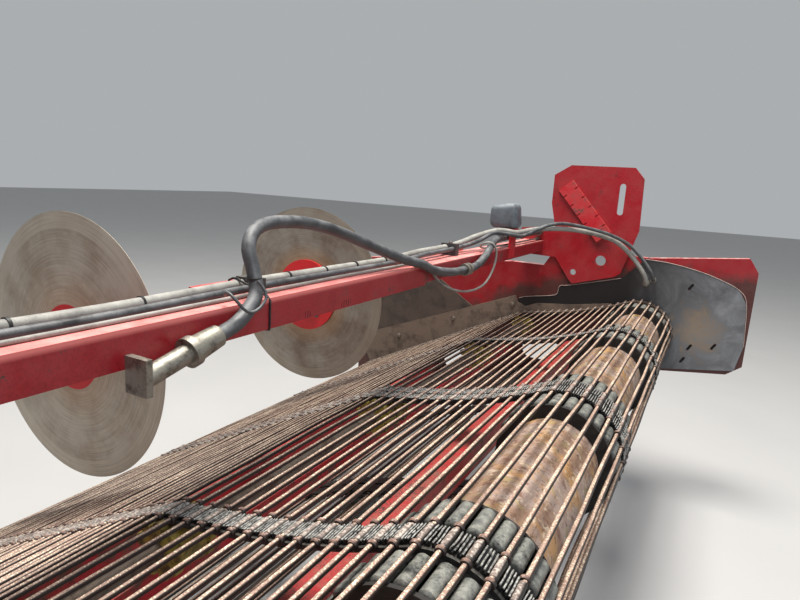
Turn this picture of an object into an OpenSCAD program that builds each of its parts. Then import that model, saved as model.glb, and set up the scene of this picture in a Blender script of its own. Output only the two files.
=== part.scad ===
// Sieving web unit of a potato harvester: two endless rod webs side by side on one
// drive shaft, in a frame of side plates and cross tubes, under a hose beam that
// carries two disc coulters. Millimetres. X runs rearwards, the way the crop travels,
// Y across the machine and Z up. The origin is midway between the two pivot eyes.

/* [Web] */
// distance from rod to rod along the belts
rod_pitch = 36; // [28:1:45]
// number of rods in each web
rod_count = 105; // [80:1:140]
// thickness of a round rod
rod_d = 10; // [8:1:12]
// thickness of the flat belts
belt_t = 8; // [6:1:10]
// cogs round the drive wheels
drive_teeth = 24; // [18:1:30]
// cogs round the yellow support wheels
support_teeth = 9; // [8:1:12]
// outside radius of the wheels in the nose
nose_wheel_r = 94; // [70:1:120]
// radius of the long curve in which the upper run sags
sag_r = 1566; // [1200:10:3000]
// direction in which the upper run meets the drive wheels, in degrees
meet_angle = 23; // [15:1:30]

/* [Places] */
// drive shaft, rearwards of the pivot eyes
drive_x = 215; // [150:5:300]
// drive shaft, below the pivot eyes
drive_z = -315; // [-400:5:-250]
// nose shaft, forwards of the drive shaft
nose_dx = -1411; // [-1700:1:-1100]
// nose shaft, below the drive shaft
nose_dz = -538; // [-650:1:-400]
// support shaft, forwards of the drive shaft
support_dx = -547; // [-650:1:-450]
// support shaft, below the drive shaft
support_dz = -54; // [-100:1:0]
// return shaft, forwards of the drive shaft
return_dx = -600; // [-700:1:-500]
// return shaft, below the drive shaft
return_dz = -375; // [-450:1:-330]

/* [Frame] */
// clear width between the two side plates
inside_w = 3060; // [2600:10:3400]
// thickness of the side plates
side_t = 8; // [6:1:12]
// thickness of the liners and of the rubber sheets
liner_t = 6; // [4:1:8]
// thickness of the strips along the webs' edges
strip_t = 10; // [6:1:12]
// thickness of the pivot brackets
bracket_t = 12; // [10:1:20]
// side plates, behind the drive shaft
rear_reach = 455; // [400:5:520]
// hose beam, forwards of the pivot eyes
beam_x = -339; // [-450:1:-300]
// hose beam, above the pivot eyes
beam_z = 45; // [20:1:100]
// width of the beam's outer tube
beam_w = 110; // [90:2:130]
// height of the beam's outer tube
beam_h = 64; // [56:2:90]
// side of the square cross tubes between the two runs
tube_w = 70; // [50:5:80]
// wall of all square tubes
tube_t = 5; // [4:1:8]

/* [Disc coulters] */
// diameter of a disc
disc_d = 740; // [600:10:800]
// thickness of a disc
disc_t = 6; // [4:1:8]
// disc planes, to each side of the middle
disc_y = 526; // [400:2:700]
// disc centres, forwards of the pivot eyes
disc_x = -1027; // [-1200:1:-900]
// disc centres, above the pivot eyes
disc_z = -178; // [-250:1:0]
// radius of the red disc cover
hub_r = 150; // [120:5:180]

/* [Hidden] */
$fn = 48;

red = "#b3262b";
steel = "#a89b8c";
rubber = "#2b2a29";
yellow = "#c9b64a";
worn = "#b9987f";

seat_gap = 0.3;                       // between pieces that only rest on each other
rod_r = rod_d / 2;
rod_out = belt_t / 2 + rod_r + seat_gap;   // rod centres, outside the belts' middle line
drive_r = drive_teeth * rod_pitch / (2 * PI);
support_r = support_teeth * rod_pitch / (2 * PI);
return_wheel_r = 45;
return_r = return_wheel_r + rod_r + rod_out + seat_gap;
nose_r = nose_wheel_r + belt_t / 2 + 0.5;
half_w = inside_w / 2;

// Belts of one web: middle line's distance from the machine's middle, and width
BELT_Y = 0;
BELT_W = 1;
web_in = 4;                           // inner and outer ends of the rods
web_out = half_w - 18;
BELTS = [[27, 44], [half_w / 2 + 19, 60], [web_out - 36, 60]];

// The endless path, as the wheels it passes: x, z, radius of the belts' middle line,
// and side, 1 for a wheel inside the loop and -1 for one outside it
function stations(take) = [
    [0, 0, drive_r, 1],
    [return_dx, return_dz, return_r, -1],
    [nose_dx - take * 0.8, nose_dz - take * 0.45, nose_r, 1],
    [support_dx, support_dz, support_r, 1],
    [(drive_r + sag_r + 0.3) * cos(90 + meet_angle),
     (drive_r + sag_r + 0.3) * sin(90 + meet_angle), sag_r, -1]
];

function gap_x(a, b) = b[0] - a[0];
function gap_z(a, b) = b[1] - a[1];
function gap_len(a, b) = norm([gap_x(a, b), gap_z(a, b)]);
// direction of the straight line from one wheel to the next
function lead(a, b) =
    atan2(gap_z(a, b), gap_x(a, b)) - asin((a[3] * a[2] - b[3] * b[2]) / gap_len(a, b));
function straight(a, b) =
    gap_len(a, b) * cos(atan2(gap_z(a, b), gap_x(a, b)) - lead(a, b));
function wrap(a) = a - 360 * floor(a / 360);
// turn of the path on wheel i
function turn(st, i) =
    let(n = len(st), before = lead(st[(i + n - 1) % n], st[i]),
        after = lead(st[i], st[(i + 1) % n]))
    st[i][3] > 0 ? wrap(before - after) : wrap(after - before);
function bend_len(st, i) = st[i][2] * turn(st, i) * PI / 180;
function sum(v, i = 0) = i >= len(v) ? 0 : v[i] + sum(v, i + 1);
function loop_len(take) =
    let(st = stations(take), n = len(st))
    sum([for (i = [0 : n - 1]) bend_len(st, i) + straight(st[i], st[(i + 1) % n])]);
// the nose shaft is moved until a whole number of rods fits the loop
function take_up(take, rounds) =
    rounds == 0 ? take
    : take_up(take + (rod_count * rod_pitch - loop_len(take)) / 1.83, rounds - 1);

take = take_up(0, 5);
ST = stations(take);
ST_N = len(ST);
nose_x = drive_x + ST[2][0];
nose_z = drive_z + ST[2][1];
support_x = drive_x + support_dx;
support_z = drive_z + support_dz;
return_x = drive_x + return_dx;
return_z = drive_z + return_dz;

// point at a distance out from the path, where the direction of travel is a
function out_at(w, a, out) =
    [ST[w][0] - (ST[w][3] * ST[w][2] + out) * sin(a),
     ST[w][1] + (ST[w][3] * ST[w][2] + out) * cos(a)];

// where each wheel's bend starts along the path
function start_of(i) =
    i == 0 ? 0 : start_of(i - 1) + bend_len(ST, i - 1) + straight(ST[i - 1], ST[i]);
STARTS = [for (i = [0 : ST_N - 1]) start_of(i)];
TURNS = [for (i = [0 : ST_N - 1]) turn(ST, i)];
LEADS = [for (i = [0 : ST_N - 1]) lead(ST[i], ST[(i + 1) % ST_N])];
function wheel_at(s, i = ST_N - 1) = s >= STARTS[i] ? i : wheel_at(s, i - 1);
// direction of travel at the distance s along the path
function travel_angle(s) =
    let(i = wheel_at(s), on = (s - STARTS[i]) / bend_len(ST, i))
    on >= 1 ? LEADS[i] : LEADS[i] + ST[i][3] * TURNS[i] * (1 - on);
function path_point(s, out) =
    let(i = wheel_at(s), past = max(0, s - STARTS[i] - bend_len(ST, i)),
        a = travel_angle(s), q = out_at(i, a, out))
    [q[0] + past * cos(a), q[1] + past * sin(a)];

// rods start half a pitch after the path meets the drive wheels, between two cogs
first_rod = rod_pitch / 2;
rod_angle = 90 + LEADS[0] + TURNS[0] - 360 / drive_teeth / 2;

// closed outline of the path, moved out by a distance
bend_step = 7.5;
function bend_points(i, out) =
    let(n = max(1, ceil(TURNS[i] / (ST[i][2] > 500 ? 3 : bend_step))))
    [for (k = [0 : n]) out_at(i, LEADS[i] + ST[i][3] * TURNS[i] * (1 - k / n), out)];
function loop_outline(out) = [for (i = [0 : ST_N - 1]) each bend_points(i, out)];

// a flat plate of the given outline in X and Z, from y to y + t
module plate(outline, y, t) {
    translate([0, y + t, 0])
        rotate([90, 0, 0])
            linear_extrude(t)
                polygon(outline);
}

// a round bar along Y
module bar(x, z, r, y0, y1, sides = 48) {
    translate([x, y1, z])
        rotate([90, 0, 0])
            cylinder(h = y1 - y0, r = r, $fn = sides);
}

// a ring along Y
module ring(x, z, r_out, r_in, y0, y1) {
    difference() {
        bar(x, z, r_out, y0, y1);
        bar(x, z, r_in, y0 - 1, y1 + 1);
    }
}

// a square tube along Y
module square_tube(x, z, w, t, y0, y1) {
    translate([x, y0, z])
        difference() {
            translate([-w / 2, 0, -w / 2])
                cube([w, y1 - y0, w]);
            translate([-w / 2 + t, -1, -w / 2 + t])
                cube([w - 2 * t, y1 - y0 + 2, w - 2 * t]);
        }
}

module on_both_sides() {
    children();
    mirror([0, 1, 0])
        children();
}

// Side plates: outline round the shafts, with a step in the top edge at the bracket
shaft_r = 30;
light_shaft_r = 20;
eye_r = 25;
pin_hole_r = 15;
pin_hole_x = -126;
pin_hole_z = -72;
nose_edge = 165;                      // plate round the nose shaft
run_edge = 95;                        // plate below the return shaft
low_top = -56;                        // top edge in front of the bracket
high_top = 45;                        // top edge behind it
rear_top = 80;                        // top edge at the rear corner
SIDE = [
    [nose_x - nose_edge, nose_z - nose_edge * 0.4], [nose_x - nose_edge * 0.6, nose_z - nose_edge * 0.85],
    [nose_x + nose_edge * 0.1, nose_z - nose_edge], [return_x - 40, return_z - run_edge],
    [return_x + 60, return_z - run_edge], [drive_x + 40, drive_z - 2 * run_edge],
    [drive_x + rear_reach - 60, drive_z - 1.5 * run_edge],
    [drive_x + rear_reach, drive_z - run_edge], [drive_x + rear_reach, rear_top - 60],
    [drive_x + rear_reach - 40, rear_top], [drive_x, high_top - 9],
    [beam_x + 120, high_top], [beam_x + 60, low_top],
    [beam_x - 110, low_top], [beam_x - 560, low_top - 40],
    [nose_x - nose_edge + 40, low_top - 75], [nose_x - nose_edge, low_top - 120]
];
slot_reach = 45;                      // take-up of the nose shaft, each way

// a hole along Y with round ends, lengthened along the direction a
end_step = 15;
function slot_outline(x, z, r, reach, a) =
    [for (end = [1, -1], k = [0 : 180 / end_step])
        let(b = a - end * 90 + k * end_step)
        [x + end * reach * cos(a) + r * cos(b), z + end * reach * sin(a) + r * sin(b)]];

module long_hole(x, z, r, reach, a, y0, y1) {
    plate(slot_outline(x, z, r, reach, a), y0, y1 - y0);
}

module side_plate() {
    y0 = half_w - 1;
    y1 = half_w + side_t + 1;
    color(red)
        difference() {
            plate(SIDE, half_w, side_t);
            bar(drive_x, drive_z, shaft_r + 2, y0, y1);
            long_hole(nose_x, nose_z, shaft_r + 2, slot_reach, LEADS[2], y0, y1);
            bar(support_x, support_z, light_shaft_r + 2, y0, y1);
            bar(return_x, return_z, light_shaft_r + 2, y0, y1);
            bar(0, 0, eye_r, y0, y1);
            bar(pin_hole_x, pin_hole_z, pin_hole_r, y0, y1);
            long_hole(drive_x - 870, drive_z - 300, 55, 90, LEADS[2], y0, y1);
            long_hole(drive_x - 450, drive_z - 190, 50, 60, 0, y0, y1);
        }
}

module right_side_plate() {
    side_plate();
}

module left_side_plate() {
    mirror([0, 1, 0])
        side_plate();
}

// Edges folded outwards, from corner to corner of the side plates' outline
flange_w = 40;
FLANGED = [3, 5, 6, 7, 8, 9, 10, 12, 13, 14];

module side_flanges() {
    color(red)
        on_both_sides()
            for (i = FLANGED) {
                a = SIDE[i];
                b = SIDE[i + 1];
                translate([a[0], half_w + side_t, a[1]])
                    rotate([0, -atan2(b[1] - a[1], b[0] - a[0]), 0])
                        translate([4, 0, 0])
                            cube([norm(b - a) - 8, flange_w, 6]);
            }
}

function at_drive(q) = [q[0] + drive_x, q[1] + drive_z];
// points along the straight upper run from the nose, at a height over the belts' middle
function run_point(d, out) =
    let(q = out_at(2, LEADS[2], out))
    at_drive([q[0] + d * cos(LEADS[2]), q[1] + d * sin(LEADS[2])]);

// Strips along the webs' edges, higher towards the nose
run_gap = rod_out + rod_r + 9;
strip_len = 985;
strip_low = run_gap - 20;
strip_front = 165;
strip_back = 82;
function strip_at(d) =
    strip_front + (d + 30) / (strip_len + 30) * (strip_back - strip_front);
// the sheet's tongue meets the strip's tail along these points: x, z
TONGUE = [[-390, -264], [-347, -279], [-284, -254], [-117, -237], [68, -203]];
tongue_gap = 1.5;
STRIP = [
    run_point(-30, strip_low), run_point(strip_len, strip_low), [-150, -285], [68, -228],
    for (i = [len(TONGUE) - 1 : -1 : 0]) TONGUE[i] - [tongue_gap, tongue_gap],
    run_point(strip_len, run_gap + strip_back), run_point(-30, run_gap + strip_front)
];

module edge_strips() {
    color("#5a4c43")
        on_both_sides()
            plate(STRIP, half_w - strip_t, strip_t);
}

// Liners on the walls above the strips
liner_h = 330;
LINER = [
    run_point(-30, run_gap + strip_front + seat_gap),
    run_point(730, run_gap + strip_at(730) + 1 + seat_gap),
    run_point(610, run_gap + liner_h - 30), run_point(520, run_gap + liner_h),
    [nose_x - nose_edge * 0.9, low_top - 130], [nose_x - nose_edge * 0.9, nose_z + 300]
];

module wall_liner() {
    color("#4a3f39")
        plate(LINER, half_w - liner_t, liner_t);
}

module right_wall_liner() {
    wall_liner();
}

module left_wall_liner() {
    mirror([0, 1, 0])
        wall_liner();
}

// Rubber sheets behind the strips, with a tongue below the bracket and bolt slots
bracket_gap = 8;
SHEET = [
    for (q = TONGUE) q, [drive_x - 140, drive_z - 160],
    [drive_x + 60, drive_z - 178], [drive_x + 230, drive_z - 150],
    [drive_x + rear_reach - 30, drive_z - 118], [drive_x + rear_reach - 8, drive_z],
    [drive_x + rear_reach - 25, drive_z + 190], [drive_x + rear_reach - 60, drive_z + 250],
    [drive_x + rear_reach - 140, drive_z + 288], [drive_x + rear_reach - 240, drive_z + 318],
    [drive_x + 90, drive_z + 340], [drive_x - 10, drive_z + 345],
    [100 + bracket_gap, -65 - bracket_gap], [-130, -130 - bracket_gap],
    [-180, -140 - bracket_gap], [-190, -190], [-225, -207], [-341, -228], [-386, -242]
];
// bolt slots from the drive shaft: x, z
SHEET_SLOTS = [[198, 240], [230, -43], [328, -22], [209, -108]];

module rubber_sheets() {
    color(rubber)
        on_both_sides()
            difference() {
                plate(SHEET, half_w - liner_t, liner_t);
                bar(drive_x, drive_z, shaft_r + 6, half_w - liner_t - 1, half_w + 1);
                translate([drive_x + REAR_TUBE[0] - tube_w / 2 - seat_gap, half_w - liner_t - 1,
                           drive_z + REAR_TUBE[1] - tube_w / 2 - seat_gap])
                    cube([tube_w + 2 * seat_gap, liner_t + 2, tube_w + 2 * seat_gap]);
                for (q = SHEET_SLOTS)
                    long_hole(drive_x + q[0], drive_z + q[1], 6, 12, 60,
                              half_w - liner_t - 1, half_w + 1);
            }
}

// Pivot brackets inside the side plates, with an eye, a pin hole and a slot; the
// front lobe carries the beam
BRACKET = [
    [-146, -108], [-124, -130], [70, -72], [100, -50], [158, 160], [150, 400], [105, 450],
    [-190, 450], [-268, 400], [-268, 262], [-240, beam_z + beam_h / 2 + 70],
    [beam_x - beam_w / 2 - 15, beam_z + beam_h / 2 + 50],
    [beam_x - beam_w / 2 - 15, beam_z - beam_h / 2 - 15],
    [-220, beam_z - beam_h / 2 - 20]
];

module pivot_brackets() {
    y0 = half_w - bracket_t - 1;
    color(red)
        on_both_sides()
            difference() {
                plate(BRACKET, half_w - bracket_t, bracket_t);
                bar(0, 0, eye_r, y0, half_w + 1);
                bar(pin_hole_x, pin_hole_z, pin_hole_r, y0, half_w + 1);
                long_hole(60, 300, 14, 60, 90, y0, half_w + 1);
            }
}

// Racks with notched edges, slanting across the brackets' inner faces
rack_w = 82;
rack_len = 315;
rack_t = 12;
rack_angle = 48.5;
rack_x = -237;
rack_z = 325;
NOTCHES = 5;
notch = 5;
notch_depth = 17;

module notched_racks() {
    color(red)
        on_both_sides()
            translate([rack_x, half_w - bracket_t - rack_t, rack_z])
                rotate([0, rack_angle, 0])
                    difference() {
                        cube([rack_len, rack_t, rack_w]);
                        for (i = [1 : NOTCHES], z = [-1, rack_w - notch_depth])
                            translate([(i - 0.3) * rack_len / (NOTCHES + 0.6), -1, z])
                                cube([notch, rack_t + 2, notch_depth + 1]);
                    }
}

// Beam: an outer tube from the left bracket to the middle, and a smaller tube out of
// it to the right bracket
beam_t = 5;
sleeve_end = 136;
lap = 320;
ext_w = beam_w - 2 * beam_t - 2;
ext_h = beam_h - 2 * beam_t - 2;
beam_end = half_w - bracket_t;

module box_tube(w, h, t, y0, y1) {
    translate([beam_x, y0, beam_z])
        difference() {
            translate([-w / 2, 0, -h / 2])
                cube([w, y1 - y0, h]);
            translate([-w / 2 + t, -1, -h / 2 + t])
                cube([w - 2 * t, y1 - y0 + 2, h - 2 * t]);
        }
}

module beam_tube() {
    color(red)
        difference() {
            box_tube(beam_w, beam_h, beam_t, -beam_end, sleeve_end);
            for (y = [-380, -150])
                for (d = [0, 22])
                    translate([beam_x + beam_w / 2 - 10, y + d, beam_z + 6])
                        rotate([0, 90, 0])
                            cylinder(h = 20, r = 5);
        }
}

module beam_extension() {
    color(red)
        box_tube(ext_w, ext_h, beam_t, sleeve_end - lap, beam_end);
}

// Cross tubes between the two runs: x and z from the drive shaft
REAR_TUBE = [-262, -96];
MIDDLE_TUBE = [-650, -190];
NOSE_TUBE = [-1080, -395];

module cross_tube(place) {
    color(red)
        square_tube(drive_x + place[0], drive_z + place[1], tube_w, tube_t, -half_w, half_w);
}

module rear_cross_tube() {
    cross_tube(REAR_TUBE);
}

module middle_cross_tube() {
    cross_tube(MIDDLE_TUBE);
}

module nose_cross_tube() {
    cross_tube(NOSE_TUBE);
}

// Flanged bearings outside the side plates: x, z, shaft radius, slant
HOUSINGS = [
    [drive_x, drive_z, shaft_r, 0], [nose_x, nose_z, shaft_r, LEADS[2]],
    [support_x, support_z, light_shaft_r, 0], [return_x, return_z, light_shaft_r, 0]
];
housing_t = 36;

module bearing_housings() {
    color("#3b3b3d")
        on_both_sides()
            for (h = HOUSINGS)
                difference() {
                    union() {
                        translate([h[0], half_w + side_t, h[1]])
                            rotate([0, -h[3], 0])
                                translate([-h[2] * 2, 0, -h[2] * 2])
                                    cube([h[2] * 4, 14, h[2] * 4]);
                        bar(h[0], h[1], h[2] * 1.7, half_w + side_t, half_w + side_t + housing_t);
                    }
                    bar(h[0], h[1], h[2] + 0.05, half_w, half_w + side_t + housing_t + 4);
                }
}

// Screws that pull the nose bearings forwards: a lug on the side plate, a threaded
// bar and two nuts
screw_r = 8;
screw_start = 2 * shaft_r;
lug_at = 200;
screw_len = 190;
screw_y = 7;

module nose_tensioners() {
    color("#6d6a66")
        on_both_sides()
            translate([nose_x, half_w + side_t, nose_z])
                rotate([0, -LEADS[2], 0]) {
                    difference() {
                        translate([lug_at, 0, -30])
                            cube([14, 34, 60]);
                        translate([lug_at - 1, screw_y + 10, 0])
                            rotate([0, 90, 0])
                                cylinder(h = 16, r = screw_r + 0.05);
                    }
                    translate([screw_start, screw_y + 10, 0])
                        rotate([0, 90, 0])
                            cylinder(h = screw_len, r = screw_r);
                    for (x = [lug_at - 12, lug_at + 14])
                        translate([x, screw_y + 10, 0])
                            rotate([0, 90, 0])
                                difference() {
                                    cylinder(h = 12, r = 14, $fn = 6);
                                    translate([0, 0, -1])
                                        cylinder(h = 14, r = screw_r);
                                }
                }
}

shaft_out = half_w + side_t + 40;

stub_r = 25;
stub_len = 70;

module drive_shaft() {
    color(steel)
        union() {
            bar(drive_x, drive_z, shaft_r, -shaft_out, shaft_out);
            bar(drive_x, drive_z, stub_r, -shaft_out - stub_len, shaft_out + stub_len);
        }
}

module nose_shaft() {
    color(steel)
        bar(nose_x, nose_z, shaft_r, -shaft_out, shaft_out);
}

module support_shaft() {
    color(steel)
        bar(support_x, support_z, light_shaft_r, -shaft_out, shaft_out);
}

module return_shaft() {
    color(steel)
        bar(return_x, return_z, light_shaft_r, -shaft_out, shaft_out);
}

// Drive wheels: inner end, outer end, belt seats between, cogs at the inner and outer end
cog_r = 14;
cog_len = 72;
flange_t = 8;
cog_circle = drive_r - 4.5;
core_r = cog_circle - cog_r + 2;
seat_r = drive_r - belt_t / 2 - 0.5;
belt_side = 14;                       // from a belt's edge to the cogs
DRIVE_WHEELS = [for (b = BELTS) [
    b[BELT_Y] - b[BELT_W] / 2 - belt_side,
    b[BELT_Y] + b[BELT_W] / 2 + belt_side]];

module cogs(y0, y1) {
    for (i = [0 : drive_teeth - 1]) {
        a = rod_angle + (i + 0.5) * 360 / drive_teeth;
        bar(drive_x + cog_circle * cos(a), drive_z + cog_circle * sin(a), cog_r, y0, y1, 8);
    }
}

module drive_wheel(y0, y1, inner, outer) {
    bar(drive_x, drive_z, seat_r, y0, y1);
    if (inner) {
        bar(drive_x, drive_z, core_r, y0 - cog_len, y0);
        bar(drive_x, drive_z, core_r + 20, y0 - cog_len - flange_t, y0 - cog_len);
        cogs(y0 - cog_len, y0);
    }
    if (outer) {
        bar(drive_x, drive_z, core_r, y1, y1 + cog_len);
        bar(drive_x, drive_z, core_r + 20, y1 + cog_len, y1 + cog_len + flange_t);
        cogs(y1, y1 + cog_len);
    }
}

module drive_wheels() {
    color("#55555a")
        difference() {
            union() {
                on_both_sides() {
                    drive_wheel(0, DRIVE_WHEELS[0][1], false, true);
                    drive_wheel(DRIVE_WHEELS[1][0], DRIVE_WHEELS[1][1], true, true);
                    drive_wheel(DRIVE_WHEELS[2][0], half_w - 12, true, false);
                }
            }
            bar(drive_x, drive_z, shaft_r, -half_w, half_w);
        }
}

// Drums that close the shaft between the drive wheels: ends from the middle
drum_r = 108;
wheel_reach = cog_len + flange_t;
DRUMS = [
    [DRIVE_WHEELS[0][1] + wheel_reach, DRIVE_WHEELS[1][0] - wheel_reach],
    [DRIVE_WHEELS[1][1] + wheel_reach, DRIVE_WHEELS[2][0] - wheel_reach]
];

module drive_drums() {
    color(worn)
        on_both_sides()
            for (d = DRUMS)
                difference() {
                    bar(drive_x, drive_z, drum_r, d[0], d[1]);
                    bar(drive_x, drive_z, drum_r - 5, d[0] + 8, d[1] - 8);
                    bar(drive_x, drive_z, shaft_r, d[0] - 1, d[1] + 1);
                }
}

// Plain wheels under the belts, with a flange where a belt has room beside it
module belt_wheels(x, z, r, flange, hub) {
    on_both_sides()
        for (b = BELTS) {
            y0 = b[BELT_Y] - b[BELT_W] / 2 - 2;
            y1 = b[BELT_Y] + b[BELT_W] / 2 + 2;
            difference() {
                union() {
                    bar(x, z, r, y0, y1);
                    if (flange > r) {
                        if (y0 > 12)
                            bar(x, z, flange, y0 - 6, y0);
                        bar(x, z, flange, y1, y1 + 6);
                    }
                }
                bar(x, z, hub, y0 - 10, y1 + 10);
            }
        }
}

module nose_wheels() {
    color("#47474b")
        belt_wheels(nose_x, nose_z, nose_wheel_r, nose_wheel_r + 6, shaft_r);
}

module return_wheels() {
    color(rubber)
        belt_wheels(return_x, return_z, return_wheel_r, return_wheel_r, light_shaft_r);
}

// Toothed rings beside the belts on the support shaft
support_seat_r = support_r - belt_t / 2 - 0.5;
tooth_tip_r = support_r + rod_out - 2;
support_angle = 90 + LEADS[2] - 8;

module toothed_ring(y0, y1) {
    difference() {
        union() {
            bar(support_x, support_z, support_seat_r - 6, y0, y1);
            for (i = [0 : support_teeth - 1]) {
                a = support_angle + (i + 0.5) * 360 / support_teeth;
                bar(support_x + (tooth_tip_r - 13) * cos(a),
                    support_z + (tooth_tip_r - 13) * sin(a), 12, y0, y1, 8);
            }
        }
        bar(support_x, support_z, light_shaft_r, y0 - 1, y1 + 1);
    }
}

module support_wheels() {
    color(yellow)
        on_both_sides()
            for (b = BELTS) {
                y0 = b[BELT_Y] - b[BELT_W] / 2;
                y1 = b[BELT_Y] + b[BELT_W] / 2;
                ring(support_x, support_z, support_seat_r, light_shaft_r, y0, y1);
                if (b[BELT_Y] < 1400)
                    toothed_ring(y1, y1 + 16);
                if (b[BELT_Y] > 400)
                    toothed_ring(y0 - 16, y0);
            }
}

// Webs
module web_rods() {
    color(steel)
        for (i = [0 : rod_count - 1]) {
            q = at_drive(path_point(first_rod + i * rod_pitch, rod_out));
            bar(q[0], q[1], rod_r, web_in, web_out, 8);
        }
}

module right_web_rods() {
    web_rods();
}

module left_web_rods() {
    mirror([0, 1, 0])
        web_rods();
}

module web_belts() {
    outer = [for (q = loop_outline(belt_t / 2)) at_drive(q)];
    inner = [for (q = loop_outline(-belt_t / 2)) at_drive(q)];
    color(rubber)
        for (b = BELTS)
            difference() {
                plate(outer, b[BELT_Y] - b[BELT_W] / 2, b[BELT_W]);
                plate(inner, b[BELT_Y] - b[BELT_W] / 2 - 1, b[BELT_W] + 2);
            }
}

module right_web_belts() {
    web_belts();
}

module left_web_belts() {
    mirror([0, 1, 0])
        web_belts();
}

// Hoses: a tube with flat sides swept along a smooth route through hand-chosen points
function blend(p0, p1, p2, p3, t) =
    0.5 * ((2 * p1) + (p2 - p0) * t + (2 * p0 - 5 * p1 + 4 * p2 - p3) * t * t
           + (3 * p1 - p0 - 3 * p2 + p3) * t * t * t);
function route(p, steps) =
    let(n = len(p))
    [for (i = [0 : n - 2], k = [0 : (i == n - 2 ? steps : steps - 1)])
        blend(p[max(0, i - 1)], p[i], p[i + 1], p[min(n - 1, i + 2)], k / steps)];
function unit(v) = v / norm(v);
function tangent(q, i) = unit(q[min(len(q) - 1, i + 1)] - q[max(0, i - 1)]);
// a side direction carried along the route without twist
function sides_of(q, i = 0, from = [1, 0, 0.1]) =
    i >= len(q) ? []
    : let(t = tangent(q, i), u = unit(from - (from * t) * t))
      concat([u], sides_of(q, i + 1, u));

module hose(points, r, steps = 2, sides = 8) {
    q = route(points, steps);
    u = sides_of(q);
    n = len(q);
    rings = [for (i = [0 : n - 1], k = [0 : sides - 1])
        let(t = tangent(q, i), a = 360 * k / sides)
        q[i] + r * (cos(a) * u[i] + sin(a) * cross(t, u[i]))];
    faces = concat(
        [[for (k = [0 : sides - 1]) k]],
        [for (i = [0 : n - 2], k = [0 : sides - 1])
            [i * sides + k, (i + 1) * sides + k,
             (i + 1) * sides + (k + 1) % sides, i * sides + (k + 1) % sides]],
        [[for (k = [sides - 1 : -1 : 0]) (n - 1) * sides + k]]);
    polyhedron(points = rings, faces = faces, convexity = 10);
}

beam_top = beam_z + beam_h / 2;
hose_r = 11;
thin_r = 8;
cable_r = 4;
arch_r = 14;
bore_gap = 0.6;                       // round a hose in a fitting or a saddle

// the two hoses along the beam: y, rise over the beam's top, sway
ALONG = [
    [-1500, 6, 0], [-1400, 6, 0], [-1180, 3, 0], [-900, 0, 3], [-560, 3, 0], [-250, 0, -3],
    [60, 0, 1], [240, 8, 2], [480, 10, 0]
];
HOSE_X = -372;
THIN_X = -342;
// their ends, which leave the beam, pass the junction box and hang behind the bracket
HOSE_END = [
    [-370, 600, 106], [-352, 740, 128], [-318, 860, 146], [-290, 910, 144],
    [-266, 955, 138], [-262, 1045, 139], [-240, 1100, 146], [-201, 1160, 152],
    [-139, 1250, 154], [-65, 1340, 146], [19, 1400, 127], [80, 1436, 102],
    [148, 1452, 45], [208, 1454, -28], [221, 1462, -58], [222, 1476, -75],
    [222, 1494, -80], [222, 1508, -80]
];
THIN_END = [
    [-338, 620, 103], [-328, 720, 118], [-312, 800, 139], [-290, 860, 137],
    [-262, 910, 131], [-243, 955, 126], [-240, 1045, 130], [-214, 1100, 150],
    [-180, 1160, 170], [-128, 1250, 178], [-19, 1340, 158], [64, 1400, 132],
    [136, 1436, 94], [192, 1446, 41], [236, 1452, -14], [250, 1462, -42],
    [252, 1478, -58], [252, 1494, -62], [252, 1508, -62]
];
function along(x, r) =
    [for (q = ALONG) [x + q[2], q[0], beam_top + r + 2 * seat_gap + q[1]]];
ARCH = [
    [-256, -790, 30], [-256, -750, 40], [-258, -710, 50], [-262, -677, 67], [-270, -643, 95],
    [-288, -632, 138], [-300, -632, 176], [-312, -610, 203], [-322, -570, 218],
    [-326, -505, 223], [-325, -405, 216], [-319, -290, 191], [-308, -165, 152],
    [-287, -22, 108], [-268, 70, 86], [-263, 150, 60], [-264, 290, 40], [-265, 420, 36],
    [-265, 520, 40], [-265, 600, 66], [-273, 680, 98], [-296, 800, 114], [-318, 1000, 112],
    [-312, 1240, 114], [-312, 1500, 114]
];
CABLE = [
    [-320, -1500, 87], [-320, -1400, 87], [-320, -1100, 82], [-318, -700, 82], [-320, -300, 82],
    [-314, -80, 82], [-304, 60, 83], [-298, 122, 84], [-290, 140, 83], [-284, 158, 70],
    [-283, 175, 52], [-280, 200, 30], [-272, 240, 4], [-270, 350, -30], [-270, 460, -48],
    [-268, 560, -50], [-262, 625, -34], [-254, 664, 6], [-248, 676, 52], [-250, 672, 92],
    [-268, 658, 114], [-296, 650, 108], [-314, 676, 92], [-318, 760, 82], [-318, 980, 80],
    [-316, 1240, 80], [-316, 1500, 80]
];

module beam_hoses() {
    color("#8f8d88") {
        hose(concat(along(HOSE_X, hose_r), HOSE_END), hose_r, 3);
        hose(concat(along(THIN_X, thin_r), THIN_END), thin_r, 3);
    }
}

module arch_hose() {
    color("#3c3d40")
        hose(ARCH, arch_r, 3, 10);
}

module sensor_cable() {
    color("#b5b3ae")
        hose(CABLE, cable_r, 3);
}

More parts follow.
